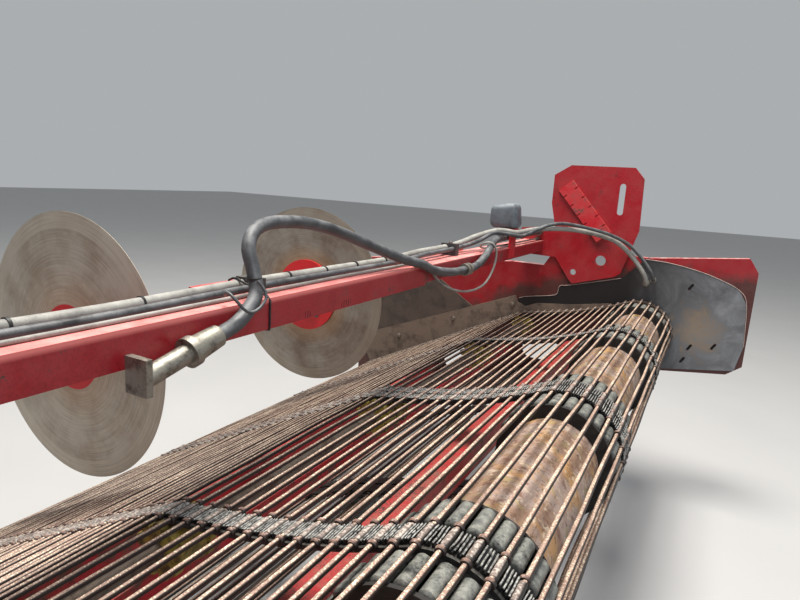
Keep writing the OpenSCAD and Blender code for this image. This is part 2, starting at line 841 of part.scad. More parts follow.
// Fittings on the brackets and the right sheet take the hoses' ends: side, x, z, hose
// radius, length, outer end
fitting_len = 40;
short_len = 28;
sheet_face = half_w - liner_t;
FITTINGS = [
    [-1, HOSE_X, along(HOSE_X, hose_r)[0][2], hose_r, fitting_len, beam_end],
    [-1, THIN_X, along(THIN_X, thin_r)[0][2], thin_r, fitting_len, beam_end],
    [-1, CABLE[0][0], CABLE[0][2], cable_r, fitting_len, beam_end],
    [1, HOSE_END[17][0], HOSE_END[17][2], hose_r, short_len, sheet_face],
    [1, THIN_END[18][0], THIN_END[18][2], thin_r, short_len, sheet_face],
    [1, CABLE[26][0], CABLE[26][2], cable_r, fitting_len, beam_end],
    [1, ARCH[24][0], ARCH[24][2], arch_r, fitting_len, beam_end]
];
boot_y = -824;                        // the arch hose starts in a boot on a small plate
boot_tilt = 76;
BOOT_RINGS = [398, 424];              // rings on the arch hose's low stretch

module hose_fittings() {
    color("#77766f") {
        for (f = FITTINGS)
            mirror([0, f[0] < 0 ? 1 : 0, 0])
                difference() {
                    bar(f[1], f[2], f[3] + 4, f[5] - f[4], f[5]);
                    bar(f[1], f[2], f[3] + bore_gap, f[5] - f[4] - 1, f[5] - 14);
                }
        for (y = BOOT_RINGS)
            ring(ARCH[17][0], ARCH[17][2], arch_r + 7, arch_r + bore_gap, y, y + 18);
        difference() {
            union() {
                translate([beam_x + beam_w / 2, boot_y - 96, -24])
                    cube([48, 12, 60]);
                translate([ARCH[0][0], boot_y, ARCH[0][2] + (boot_y - ARCH[0][1]) / 4])
                    rotate([-boot_tilt, 0, 0]) {
                        cylinder(h = 70, r1 = 24, r2 = 20);
                        cylinder(h = 14, r = 27);
                        translate([0, 0, -90])
                            cylinder(h = 91, r = 17);
                    }
            }
            translate([ARCH[0][0], boot_y, ARCH[0][2] + (boot_y - ARCH[0][1]) / 4])
                rotate([-boot_tilt, 0, 0])
                    translate([0, 0, 30])
                        cylinder(h = 60, r = arch_r + bore_gap);
        }
    }
}

// Saddles hold the two hoses on the beam: rows of the table above, and the tube's top
SADDLES = [[2, 0], [4, 0], [8, 1]];
saddle_w = 26;

module hose_saddles() {
    color("#2c2c2e")
        for (q = SADDLES) {
            y = ALONG[q[0]][0];
            z = beam_z + (q[1] > 0 ? ext_h : beam_h) / 2;
            top = beam_top + 2 * hose_r + ALONG[q[0]][1] + 5;
            difference() {
                translate([HOSE_X - hose_r - 5, y - saddle_w / 2, z])
                    cube([THIN_X - HOSE_X + hose_r + thin_r + 10, saddle_w, top - z]);
                for (h = [[HOSE_X, hose_r], [THIN_X, thin_r]])
                    bar(h[0], along(h[0], h[1])[q[0]][2], h[1] + bore_gap,
                        y - saddle_w, y + saddle_w);
            }
        }
}

// Junction box on a plate that stands on the beam's rear face
box_y = 1000;
box_z = 152;
BOX = [[-384, 16], [-271, 16], [-384, 82], [-278, 92]];

module junction_box() {
    color("#5f666c") {
        translate([beam_x + ext_w / 2, box_y - 40, beam_z - 20])
            cube([6, 80, box_z - 6 - beam_z + 20]);
        translate([beam_x - 4, box_y - 40, box_z - 6])
            cube([ext_w / 2 + 10, 80, 6]);
    }
    color("#6d757c")
        hull()
            for (q = BOX, y = [-32, 32])
                translate([q[0] + (y > 0 ? 8 : 0), box_y + y, box_z + q[1] + (q[1] > 50 ? -y / 8 : 0)])
                    sphere(r = 16, $fn = 16);
}

// Disc coulters: the arm hangs from a clevis in front of the beam, outside the disc
arm_w = 60;
arm_y = disc_y + 95;
pivot_x = beam_x - 120;
pivot_z = beam_z - 30;
pin_r = 15;
ear_t = 12;
base_t = 14;
arm_angle = atan2(disc_z - pivot_z, disc_x - pivot_x);
arm_len = norm([disc_x - pivot_x, disc_z - pivot_z]);
axle_r = 22;

// face is the front face of the tube that carries this bracket
module arm_bracket(face) {
    translate([face - base_t, arm_y - 60, beam_z - 62])
        cube([base_t, 120, 112]);
    for (y = [arm_y - arm_w / 2 - ear_t - 1, arm_y + arm_w / 2 + 1])
        difference() {
            plate([[face - base_t + 1, beam_z + 40], [face - base_t + 1, beam_z - 58],
                   [pivot_x - 10, pivot_z - 32], [pivot_x - 32, pivot_z - 10],
                   [pivot_x - 32, pivot_z + 14], [pivot_x, pivot_z + 32]], y, ear_t);
            bar(pivot_x, pivot_z, pin_r + 0.05, y - 1, y + ear_t + 1);
        }
}

module arm_brackets() {
    color(red) {
        arm_bracket(beam_x - ext_w / 2);
        mirror([0, 1, 0])
            arm_bracket(beam_x - beam_w / 2);
    }
}

module disc_arm() {
    color(red)
        difference() {
            union() {
                bar(pivot_x, pivot_z, pin_r, arm_y - arm_w / 2 - 20, arm_y + arm_w / 2 + 20);
                bar(pivot_x, pivot_z, 36, arm_y - arm_w / 2, arm_y + arm_w / 2);
                translate([pivot_x, arm_y, pivot_z])
                    rotate([0, -arm_angle, 0])
                        translate([20, -arm_w / 2 + 3, -arm_w / 2])
                            cube([arm_len - 50, arm_w - 6, arm_w]);
                bar(disc_x, disc_z, 52, arm_y - arm_w / 2, arm_y + arm_w / 2);
            }
            bar(disc_x, disc_z, axle_r, arm_y - arm_w / 2 - 1, arm_y + arm_w / 2 + 1);
        }
}

module disc_axle() {
    color(steel)
        bar(disc_x, disc_z, axle_r, disc_y - 34, arm_y + arm_w / 2 + 12);
}

cover_t = 8;
spigot_r = 50;

module disc_hub() {
    color(red)
        difference() {
            union() {
                bar(disc_x, disc_z, hub_r, disc_y - cover_t, disc_y);
                bar(disc_x, disc_z, 58, disc_y - 40, disc_y - cover_t + 1);
                bar(disc_x, disc_z, spigot_r - seat_gap, disc_y - 1, disc_y + disc_t + 1);
                bar(disc_x, disc_z, 70, disc_y + disc_t, disc_y + disc_t + 10);
                bar(disc_x, disc_z, 50, disc_y + disc_t + 5, disc_y + 60);
            }
            bar(disc_x, disc_z, axle_r + 0.05, disc_y - 35, disc_y + 61);
        }
}

bevel_w = 45;

module disc() {
    color("#8d8579")
        translate([disc_x, disc_y, disc_z])
            rotate([-90, 0, 0])
                rotate_extrude($fn = 96)
                    polygon([[spigot_r, 0], [disc_d / 2 - bevel_w, 0],
                             [disc_d / 2, disc_t / 2 - 0.5], [disc_d / 2, disc_t / 2 + 0.5],
                             [disc_d / 2 - bevel_w, disc_t], [spigot_r, disc_t]]);
}

module right_disc_arm() {
    disc_arm();
}

module left_disc_arm() {
    mirror([0, 1, 0])
        disc_arm();
}

module right_disc_axle() {
    disc_axle();
}

module left_disc_axle() {
    mirror([0, 1, 0])
        disc_axle();
}

module right_disc_hub() {
    disc_hub();
}

module left_disc_hub() {
    mirror([0, 1, 0])
        disc_hub();
}

module right_disc() {
    disc();
}

module left_disc() {
    mirror([0, 1, 0])
        disc();
}

left_side_plate();
right_side_plate();
side_flanges();
left_wall_liner();
right_wall_liner();
edge_strips();
rubber_sheets();
pivot_brackets();
notched_racks();
beam_tube();
beam_extension();
rear_cross_tube();
middle_cross_tube();
nose_cross_tube();
bearing_housings();
nose_tensioners();
drive_shaft();
drive_drums();
drive_wheels();
support_shaft();
support_wheels();
return_shaft();
return_wheels();
nose_shaft();
nose_wheels();
left_web_rods();
right_web_rods();
left_web_belts();
right_web_belts();
beam_hoses();
arch_hose();
sensor_cable();
hose_fittings();
hose_saddles();
junction_box();
arm_brackets();
left_disc_arm();
right_disc_arm();
left_disc_axle();
right_disc_axle();
left_disc_hub();
right_disc_hub();
left_disc();
right_disc();
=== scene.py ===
# %% [markdown]
# # Sieving web unit of a potato harvester
# Two endless webs of steel rods run side by side over one drive shaft, between red side
# plates. A red beam with hoses crosses above them, and two disc coulters hang in front.
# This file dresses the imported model: the shapes that fix sizes and motion come from it,
# and Blender adds the worn finishes, the rubber ribs on the belts and the small fittings.

import math

import bmesh
import bpy
import numpy as np
from mathutils import Matrix, Vector


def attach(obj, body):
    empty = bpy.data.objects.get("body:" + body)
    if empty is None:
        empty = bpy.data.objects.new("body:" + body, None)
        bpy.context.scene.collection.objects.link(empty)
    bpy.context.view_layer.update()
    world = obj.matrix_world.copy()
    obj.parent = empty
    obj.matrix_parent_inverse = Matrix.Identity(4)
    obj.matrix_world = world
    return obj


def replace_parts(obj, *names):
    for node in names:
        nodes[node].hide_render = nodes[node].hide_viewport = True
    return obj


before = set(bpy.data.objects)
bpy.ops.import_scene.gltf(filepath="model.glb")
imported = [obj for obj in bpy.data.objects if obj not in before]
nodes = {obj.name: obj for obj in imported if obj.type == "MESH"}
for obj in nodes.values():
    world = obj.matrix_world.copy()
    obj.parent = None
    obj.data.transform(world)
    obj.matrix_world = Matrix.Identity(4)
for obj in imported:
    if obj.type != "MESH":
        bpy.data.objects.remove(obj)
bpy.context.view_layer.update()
MM = 0.001

# %% [markdown]
# ## Camera first
# The photograph was taken from above the left rear corner, looking forwards and down
# across both webs. A camera is a place and three turns, so those are named values, and
# the lens follows from the width of the view.

# %% The camera
CAMERA_PLACE = Vector((485, -1494, 322)) * MM
CAMERA_TURNS = (78.65, -3.49, 28.34)      # degrees about X, Y and Z
LENS_MM = 26.64


def in_scene(name, data):
    """A new object that shows the data, linked into the scene."""
    made = bpy.data.objects.new(name, data)
    bpy.context.scene.collection.objects.link(made)
    return made


camera = in_scene("camera", bpy.data.cameras.new("camera"))
camera.data.lens = LENS_MM
camera.data.sensor_width = 36.0
camera.data.clip_start = 0.02
camera.location = CAMERA_PLACE
camera.rotation_euler = [math.radians(turn) for turn in CAMERA_TURNS]
bpy.context.scene.camera = camera
print("camera at", [round(v, 3) for v in camera.location], "lens", LENS_MM)

# %% [markdown]
# ## Materials: one way to add a node
# Every material below is a small node tree. Writing each node by hand takes four lines,
# so one function adds a node, sets its properties and fills its inputs. A value that is
# a socket becomes a link, a node stands for its first output in use, and any other value
# becomes the input's own number or colour. The shader's inputs are filled the same way.

# %% Helpers that add a node and start a material
UNDER, OVER = 6, 7                   # a Mix node's two colour inputs go by number


def fill(tree, node, inputs):
    for name, value in inputs.items():
        if isinstance(value, bpy.types.Node):
            value = next(socket for socket in value.outputs if socket.enabled)
        if isinstance(value, bpy.types.NodeSocket):
            tree.links.new(value, node.inputs[name])
        else:
            node.inputs[name].default_value = value


def add(tree, kind, inputs=None, **settings):
    made = tree.nodes.new(kind)
    for name, value in settings.items():
        setattr(made, name, value)
    fill(tree, made, inputs or {})
    return made


def colour(text):
    """An sRGB colour such as "#b3262b" as the linear numbers that a socket takes."""
    parts = [int(text[i:i + 2], 16) / 255 for i in (1, 3, 5)]
    return [p / 12.92 if p <= 0.04045 else ((p + 0.055) / 1.055) ** 2.4 for p in parts] + [1.0]


def new_material(name):
    """A material, its tree, its shader, and the place of each point of the surface."""
    made = bpy.data.materials.new(name)
    made.use_nodes = True
    made.diffuse_color = (0.5, 0.5, 0.5, 1.0)
    tree = made.node_tree
    place = add(tree, "ShaderNodeTexCoord").outputs["Object"]
    return made, tree, tree.nodes["Principled BSDF"], place


# %% [markdown]
# ## Weathered surfaces
# Almost every surface here is the same story told with other colours: a base coat, grime
# that gathers in soft patches, a pale coat on whatever faces up, and a fine grain. The pale
# coat is dust, and on the beam and the flanges it is also a painted sky sheen. Two coats
# are only laid where a finish asks for them: chips in the paint, and painted shade along
# the inner sides of the walls, below the web. Noise in three dimensions is used instead of
# an image, because it needs no unwrapping and has no seams. A noise's Scale counts its
# patches in a metre, so it is 1000 divided by a patch's real size in millimetres. Noise
# mostly lies between 0.3 and 0.7, and a Map Range turns it into a mask: From Min is where
# the mask starts, From Max where it is full, and To Max how much it covers then.

# %% Two coats for some finishes
INNER_FACE = 1.53                    # the side plates' inner faces, from the middle


def chipped(tree, place, surface, tint, size_mm, share):
    """Small chips over a surface, gathered in wide patches."""
    spots = add(tree, "ShaderNodeTexNoise", {
        "Vector": place, "Scale": 1000 / size_mm, "Detail": 5.0, "Roughness": 0.6})
    wide = add(tree, "ShaderNodeTexNoise", {
        "Vector": place, "Scale": 1000 / (size_mm * 14), "Detail": 2.0})
    both = add(tree, "ShaderNodeMath", {0: spots, 1: wide}, operation="ADD")
    mask = add(tree, "ShaderNodeMapRange", {
        "Value": both, "From Min": 1.32 - share * 0.4, "From Max": 1.36 - share * 0.4})
    return add(tree, "ShaderNodeMix", {
        "Factor": mask, UNDER: surface, OVER: colour(tint)}, data_type="RGBA")


def shaded_below(tree, place, surface, patches, slope, rise, shade_tint):
    """Painted shade inside the walls, below an uneven line that drops forwards with the web."""
    split = add(tree, "ShaderNodeSeparateXYZ", {"Vector": place})
    forward = add(tree, "ShaderNodeMath", {0: split.outputs["X"], 1: 0.0}, operation="MINIMUM")
    height = add(tree, "ShaderNodeMath", {
        0: forward, 1: -slope, 2: split.outputs["Z"]}, operation="MULTIPLY_ADD")
    uneven = add(tree, "ShaderNodeMath", {
        0: patches, 1: -0.3, 2: height}, operation="MULTIPLY_ADD")
    shade_mask = add(tree, "ShaderNodeMapRange", {
        "Value": uneven, "From Min": rise - 0.10, "From Max": rise - 0.17, "To Max": 0.88})
    sideways = add(tree, "ShaderNodeMath", {0: split.outputs["Y"]}, operation="ABSOLUTE")
    inside = add(tree, "ShaderNodeMapRange", {
        "Value": sideways, "From Min": INNER_FACE + 0.003, "From Max": INNER_FACE + 0.002})
    mask = add(tree, "ShaderNodeMath", {0: shade_mask, 1: inside}, operation="MULTIPLY")
    return add(tree, "ShaderNodeMix", {
        "Factor": mask, UNDER: surface, OVER: colour(shade_tint)}, data_type="RGBA")


# %% [markdown]
# The whole finish lays its coats in this order: paint, grime, chips, painted shade below
# the web, then the pale coat of dust and painted sheen. That coat needs a face that looks
# up, so it follows the height of the normal. The grain makes the smallest shades and dents,
# and the drifts of dust the larger ones.

# %% A function for weathered finishes
def weathered(name, base, grime, dust_and_sheen, grime_mm=90, grime_share=0.45, dust_and_sheen_share=0.5,
              grain_mm=3.0, relief_mm=0.25, roughness=0.55, metallic=0.0, chips=None,
              chip_mm=9.0, chip_share=0.3, below=None, side_dust_and_sheen=0.25):
    made, tree, shader, place = new_material(name)
    patches = add(tree, "ShaderNodeTexNoise", {
        "Vector": place, "Scale": 1000 / grime_mm, "Detail": 8.0, "Roughness": 0.65})
    grime_mask = add(tree, "ShaderNodeMapRange", {
        "Value": patches, "From Min": 0.62 - grime_share * 0.3,
        "From Max": 0.78 - grime_share * 0.3, "To Max": 0.92})
    grain = add(tree, "ShaderNodeTexNoise", {
        "Vector": place, "Scale": 1000 / grain_mm, "Detail": 4.0, "Roughness": 0.7})
    shades = add(tree, "ShaderNodeMapRange", {
        "Value": grain, "From Min": 0.3, "From Max": 0.7, "To Min": 0.78, "To Max": 1.18})
    surface = add(tree, "ShaderNodeMix", {
        "Factor": grime_mask, UNDER: colour(base), OVER: colour(grime)}, data_type="RGBA")
    if chips:
        surface = chipped(tree, place, surface, chips, chip_mm, chip_share)
    if below:
        surface = shaded_below(tree, place, surface, patches, *below)
    # The pale coat on faces that look up: dust, and on the beam and flanges a painted sky sheen.
    upward = add(tree, "ShaderNodeSeparateXYZ", {
        "Vector": add(tree, "ShaderNodeNewGeometry").outputs["Normal"]})
    lying = add(tree, "ShaderNodeMapRange", {
        "Value": upward.outputs["Z"], "From Min": 0.1, "From Max": 0.95,
        "To Min": dust_and_sheen_share * side_dust_and_sheen, "To Max": dust_and_sheen_share})
    drifts = add(tree, "ShaderNodeTexNoise", {
        "Vector": place, "Scale": 1000 / (grime_mm * 0.35), "Detail": 9.0, "Roughness": 0.7})
    drift_mask = add(tree, "ShaderNodeMapRange", {
        "Value": drifts, "From Min": 0.38, "From Max": 0.66})
    dust_and_sheen_mask = add(tree, "ShaderNodeMath", {0: lying, 1: drift_mask}, operation="MULTIPLY")
    dust_and_sheen_coat = add(tree, "ShaderNodeMix", {
        "Factor": dust_and_sheen_mask, UNDER: surface, OVER: colour(dust_and_sheen)}, data_type="RGBA")
    shaded = add(tree, "ShaderNodeMix", {
        "Factor": 1.0, UNDER: dust_and_sheen_coat, OVER: shades}, data_type="RGBA", blend_type="MULTIPLY")
    rough = add(tree, "ShaderNodeMapRange", {
        "Value": drifts, "From Min": 0.3, "From Max": 0.7,
        "To Min": max(0.1, roughness - 0.12), "To Max": min(0.98, roughness + 0.22)})
    bump = add(tree, "ShaderNodeBump", {
        "Height": grain, "Strength": 1.0, "Distance": relief_mm * MM})
    lumps = add(tree, "ShaderNodeBump", {
        "Height": drifts, "Strength": 1.0, "Distance": relief_mm * 4 * MM, "Normal": bump})
    fill(tree, shader, {"Base Color": shaded, "Roughness": rough, "Normal": lumps,
                        "Metallic": metallic})
    return made


# %% [markdown]
# A box tube's rounded upper edges catch the sky, so they get a painted pale highlight. A
# second function adds that band to a finished material: it puts a mix between the old colour and the
# shader.

# %% A function for a painted highlight along an upper edge
BEAM_TOP = 77                        # the height of the beam's upper face


def paint_edge_highlight(made, top, depth, pale, share=0.8):
    """Paint a pale highlight on a material over a depth below a height, both in millimetres."""
    tree = made.node_tree
    shader = tree.nodes["Principled BSDF"]
    height = add(tree, "ShaderNodeSeparateXYZ", {
        "Vector": add(tree, "ShaderNodeTexCoord").outputs["Object"]})
    highlight_band = add(tree, "ShaderNodeMapRange", {
        "Value": height.outputs["Z"], "From Min": (top - depth) * MM,
        "From Max": (top - depth * 0.35) * MM, "To Max": share})
    shifted = add(tree, "ShaderNodeMix", {
        "Factor": highlight_band, UNDER: shader.inputs["Base Color"].links[0].from_socket,
        OVER: colour(pale)}, data_type="RGBA")
    fill(tree, shader, {"Base Color": shifted})


# %% [markdown]
# The finishes that only differ in their numbers come next. Each is named for what the real
# surface is, and its comment says what that gives the eye. The frame is sprayed with one
# red enamel, but every part of it has aged in its own way, and the beam and flanges carry a
# painted sky sheen and the walls painted shade, so it has several finishes.

# %% Enamelled steel
# Machine enamel, sprayed on steel: half glossy red, chipped to dark primer.
enamel = weathered(
    "machine_enamel", "#ba1c28", "#8a1c22", "#b08e82", grime_mm=200, grime_share=0.2,
    dust_and_sheen_share=0.55, grain_mm=5, relief_mm=0.1, roughness=0.4, chips="#2f2320",
    chip_mm=5, chip_share=0.26)
# On the walls, where the crop runs past, the enamel is a darker red, and below a slanting line it
# carries painted shade.
wall_enamel = weathered(
    "wall_enamel", "#8e0f1b", "#6f1119", "#8a6a5e", grime_mm=170, grime_share=0.25,
    dust_and_sheen_share=0.3, grain_mm=5, relief_mm=0.1, roughness=0.45,
    below=(0.42, -0.03, "#3a2520"))
# On the sheltered brackets it stays deep and clean.
bracket_enamel = weathered(
    "bracket_enamel", "#98121e", "#701219", "#8f7064", grime_mm=260, grime_share=0.35,
    dust_and_sheen_share=0.3, grain_mm=5, relief_mm=0.1, roughness=0.42, chips="#2f2320",
    chip_mm=5, chip_share=0.2)
# The beam lies under the open sky: its top is painted pale as the sky's sheen, its upper edges get a
# painted highlight, and its face is deep red.
beam_enamel = weathered(
    "sky_lit_beam_enamel", "#8c141e", "#6f1018", "#f2cfc8", grime_mm=200, grime_share=0.3,
    dust_and_sheen_share=0.85, side_dust_and_sheen=0.04, grain_mm=5, relief_mm=0.1, roughness=0.42,
    chips="#2f2320", chip_mm=5, chip_share=0.26)
paint_edge_highlight(beam_enamel, BEAM_TOP, 12, "#e8857f", share=0.75)
# The flanges' faces look up too, and all over them the sky's sheen is painted pale.
lit_enamel = weathered(
    "sky_sheen_painted_enamel", "#b8202b", "#8a1c22", "#dcc4ba", grime_mm=90, grime_share=0.2,
    dust_and_sheen_share=0.95, grain_mm=5, relief_mm=0.1, roughness=0.4)
# The crop washes the disc covers, so they stay bright.
hub_enamel = weathered(
    "clean_hub_enamel", "#d3121d", "#b0121b", "#a2786c", grime_mm=120, grime_share=0.1,
    dust_and_sheen_share=0.2, grain_mm=3, relief_mm=0.08, roughness=0.4)
# Below the web soil cakes on the cross tubes.
under_enamel = weathered(
    "soil_caked_enamel", "#cc1f2e", "#5d4a40", "#8a7a6a", grime_mm=80, grime_share=0.45,
    dust_and_sheen_share=0.5, side_dust_and_sheen=0.1, grain_mm=6, relief_mm=0.3, roughness=0.55,
    chips="#2a211c", chip_mm=5, chip_share=0.3)
# The rearmost cross tube is washed smoother by the falling crop.
washed_enamel = weathered(
    "crop_washed_enamel", "#b5282c", "#7a4438", "#93685a", grime_mm=110, grime_share=0.35,
    dust_and_sheen_share=0.6, side_dust_and_sheen=0.15, grain_mm=6, relief_mm=0.15, roughness=0.5,
    chips="#4a2220", chip_mm=5, chip_share=0.3)
print("enamels", len(bpy.data.materials))

# %% [markdown]
# The parts that guide and carry the webs wear bare rubber, steel and cast plastic. They
# differ from the enamel in roughness, and soil sits deeper in them.

# %% Liners, shafts, wheels and housings
# Rubber sheet, moulded smooth and dulled by a film of dry soil.
soiled_liner = weathered(
    "soiled_liner_sheet", "#4a3d36", "#2f2723", "#7d6c5d", grime_mm=160, dust_and_sheen_share=0.55,
    grain_mm=6, relief_mm=0.3, roughness=0.72)
# Cut rubber strip: paler, with dust in its open edge.
soiled_strip = weathered(
    "soiled_edge_strip", "#6b5a4e", "#443830", "#8f7d6d", grime_mm=70, dust_and_sheen_share=0.6,
    grain_mm=5, relief_mm=0.35, roughness=0.7)
# Turned steel without paint: brown rust under a little shine.
bare_shaft = weathered(
    "bare_shaft_steel", "#7d7268", "#4a382c", "#8d8073", grime_mm=50, grain_mm=2.5,
    roughness=0.45, metallic=0.55)
# Moulded rubber with a grey bloom, rubbed black in spots.
cog_rubber = weathered(
    "bloomed_cog_rubber", "#525452", "#343635", "#99998f", grime_mm=45, dust_and_sheen_share=0.7,
    grain_mm=3, relief_mm=0.3, roughness=0.5, chips="#181a19", chip_mm=5, chip_share=0.64)
# The wheels' cores lie in the shade, and that shade is painted into their nearly black colour.
wheel_core = weathered(
    "shade_painted_wheel_core", "#1c1a19", "#120f0e", "#3c352f", grime_mm=60, dust_and_sheen_share=0.4,
    grain_mm=3, roughness=0.75)
# Cast polyurethane: matt yellow under patches of soil.
yellow_plastic = weathered(
    "yellow_cast_plastic", "#ab9a45", "#4a4026", "#9a8b5a", grime_mm=30, grime_share=0.55,
    dust_and_sheen_share=0.4, grain_mm=3, roughness=0.6)
# Cast iron under dark paint: a rough skin with dusty hollows.
cast_housing = weathered(
    "painted_cast_housing", "#39393b", "#232222", "#7c746a", grime_mm=50, dust_and_sheen_share=0.5,
    grain_mm=2.5, roughness=0.55, metallic=0.2)
print("finishes", len(bpy.data.materials))

# %% [markdown]
# The small parts on the beam are cleaner, because no crop reaches them. Their grain is
# finer too, so that the smooth hoses and the box don't look like castings.

# %% Hoses, fittings and other small parts
# Moulded plastic: an even, half matt grey.
box_plastic = weathered(
    "moulded_box_plastic", "#5d666e", "#464c51", "#9aa0a2", grime_mm=80, dust_and_sheen_share=0.5,
    grain_mm=1.5, relief_mm=0.08, roughness=0.5)
# Zinc plating: dull silver with soft highlights.
plated_fitting = weathered(
    "zinc_plated_fitting", "#8d8b82", "#4f4a42", "#a39c8e", grime_mm=25, dust_and_sheen_share=0.4,
    grain_mm=2, roughness=0.38, metallic=0.7)
# Extruded rubber: the sun has bleached the thick hose grey.
hose_cover = weathered(
    "sun_bleached_hose_cover", "#85847f", "#5c5b58", "#b3b1aa", grime_mm=120, grain_mm=2,
    dust_and_sheen_share=0.7, relief_mm=0.08, roughness=0.6)
# The other hoses are newer and still black.
black_hose = weathered(
    "black_hose_cover", "#393b3e", "#262729", "#8f9193", grime_mm=150, grain_mm=2,
    dust_and_sheen_share=0.65, relief_mm=0.08, roughness=0.45)
# Moulded nylon: black with a slight gloss.
tie_plastic = weathered(
    "black_tie_plastic", "#1c1b1c", "#121112", "#4b4746", grime_mm=40, dust_and_sheen_share=0.3,
    grain_mm=2, relief_mm=0.05, roughness=0.4)
# The sheets' cut edges: worn pale by the crop, and painted paler still as a highlight.
rim_wear_and_highlight = weathered(
    "worn_highlit_sheet_rim", "#9a8880", "#5a504c", "#c9b8ae", grime_mm=45, dust_and_sheen_share=0.6,
    grain_mm=2, relief_mm=0.05, roughness=0.5)
# Painted shadow for the sheets' slots, also the dark of the beam's scratches: near black and without
# shine.
shadow_and_scratch_black = weathered(
    "slot_shadow_and_scratch_black", "#0f0d0c", "#080707", "#1d1916", grime_mm=15, dust_and_sheen_share=0.1,
    grain_mm=2, roughness=0.9)
# Belt rubber over fabric: black, with dust in its dents.
belt_rubber = weathered(
    "black_belt_rubber", "#232323", "#161616", "#6f6a62", grime_mm=30, dust_and_sheen_share=0.5,
    grain_mm=2, relief_mm=0.2, roughness=0.42)
print("finishes", len(bpy.data.materials))

# %% [markdown]
# ## Rods, sheets, discs and drums need their own patterns
# A rod is bare spring steel. It shows its wear as small dark pits on pale, rubbed metal,
# with soil stuck in patches, and the pits are chosen by a threshold on a fine noise. A
# painted highlight runs along each rod's top, and painted shade darkens its underside. In
# front of the support wheels the rods lie in the shade, except at the left end, so there
# the painted highlight along their tops is narrower and the whole rod is painted darker.

# %% A function for pitted rods
LIT_SIDE = (-0.32, 0.0, 0.95)       # the painted highlight faces this way, painted shade the other way
SHADE_FROM, SHADE_TO = -0.30, -0.42  # the rods get painted shade between these, along X
OPEN_FROM, OPEN_TO = -0.45, -0.85    # but not past these, along Y, where light comes in
NARROWER, DULLER = 0.12, 0.38        # what the shade takes off the pale line and its light
TINT_MM = 70                         # the brown changes over about this length


def pitted_rod_with_painted_light(name, brown, pale, pit_and_shade, pale_share=0.5, fleck_mm=3.0):
    """Round steel or rubber with pale flecks and a painted highlight on top, and painted shade
    underneath.
    """
    made, tree, shader, place = new_material(name)
    tint = add(tree, "ShaderNodeTexNoise", {
        "Vector": place, "Scale": 1000 / TINT_MM, "Detail": 6.0, "Roughness": 0.6})
    flecks = add(tree, "ShaderNodeTexNoise", {
        "Vector": place, "Scale": 1000 / fleck_mm, "Detail": 2.0, "Roughness": 0.5})
    # Painted light: faces towards the lit side get more pale flecks as a highlight, and faces turned
    # away turn dark as painted shade.
    lit_side = add(tree, "ShaderNodeVectorMath", {
        0: add(tree, "ShaderNodeNewGeometry").outputs["Normal"], 1: LIT_SIDE},
        operation="DOT_PRODUCT")
    top_highlight = add(tree, "ShaderNodeMapRange", {
        "Value": lit_side, "From Min": 0.1, "From Max": 0.9, "To Max": 0.16})
    shifted = add(tree, "ShaderNodeMapRange", {
        "Value": tint, "From Min": 0.35, "From Max": 0.65, "To Min": -0.05, "To Max": 0.05})
    raised = add(tree, "ShaderNodeMath", {0: flecks, 1: top_highlight}, operation="ADD")
    both = add(tree, "ShaderNodeMath", {0: raised, 1: shifted}, operation="ADD")
    pale_mask = add(tree, "ShaderNodeMapRange", {
        "Value": both, "From Min": 0.78 - pale_share * 0.3,
        "From Max": 0.9 - pale_share * 0.3})
    dark_mask = add(tree, "ShaderNodeMapRange", {
        "Value": both, "From Min": 0.52, "From Max": 0.42, "To Max": 0.5})
    shade = add(tree, "ShaderNodeMapRange", {
        "Value": tint, "From Min": 0.3, "From Max": 0.7, "To Min": 0.8, "To Max": 1.12})
    flecked = add(tree, "ShaderNodeMix", {
        "Factor": pale_mask, UNDER: colour(brown), OVER: colour(pale)}, data_type="RGBA")
    pitted = add(tree, "ShaderNodeMix", {
        "Factor": dark_mask, UNDER: flecked, OVER: colour(pit_and_shade)}, data_type="RGBA")
    split = add(tree, "ShaderNodeSeparateXYZ", {"Vector": place})
    # Painted shade over the rods in front of the support wheels, except at the left end.
    forward = add(tree, "ShaderNodeMapRange", {
        "Value": split.outputs["X"], "From Min": SHADE_FROM, "From Max": SHADE_TO})
    covered = add(tree, "ShaderNodeMapRange", {
        "Value": split.outputs["Y"], "From Min": OPEN_TO, "From Max": OPEN_FROM})
    shaded_part = add(tree, "ShaderNodeMath", {0: forward, 1: covered}, operation="MULTIPLY")
    narrowed = add(tree, "ShaderNodeMath", {
        0: shaded_part, 1: -NARROWER, 2: lit_side}, operation="MULTIPLY_ADD")
    underside_shade = add(tree, "ShaderNodeMapRange", {
        "Value": narrowed, "From Min": 0.8, "From Max": 0.42, "To Max": 0.97})
    overlaid = add(tree, "ShaderNodeMix", {
        "Factor": underside_shade, UNDER: pitted, OVER: colour(pit_and_shade)}, data_type="RGBA")
    dulled = add(tree, "ShaderNodeMath", {
        0: shaded_part, 1: -DULLER, 2: shade}, operation="MULTIPLY_ADD")
    shaded = add(tree, "ShaderNodeMix", {
        "Factor": 1.0, UNDER: overlaid, OVER: dulled}, data_type="RGBA", blend_type="MULTIPLY")
    dents = add(tree, "ShaderNodeBump", {
        "Height": flecks, "Strength": 0.7, "Distance": 0.3 * MM})
    fill(tree, shader, {"Base Color": shaded, "Normal": dents, "Roughness": 0.5})
    return made


# %% [markdown]
# The rubber sheets start black and smooth, and the crop scuffs them grey towards the rear.
# The belts' ribs are black rubber too, and only their raised lips are worn, with a painted
# highlight on them, so there a number on each corner of the mesh says where the wear and the highlight
# are.

# %% Functions for scuffed rubber and for worn rubber with highlit lips
SCUFF_FROM, SCUFF_TO = 0.14, 0.56    # the sheets get paler between these, along X
SOIL_PATCH = (0.452, 1.524, -0.285)  # the middle of the patch of soil on one sheet
SWIRL_MM, NIBBLE_MM = 140, 7         # how large the scuffs and the breaks in a lip are


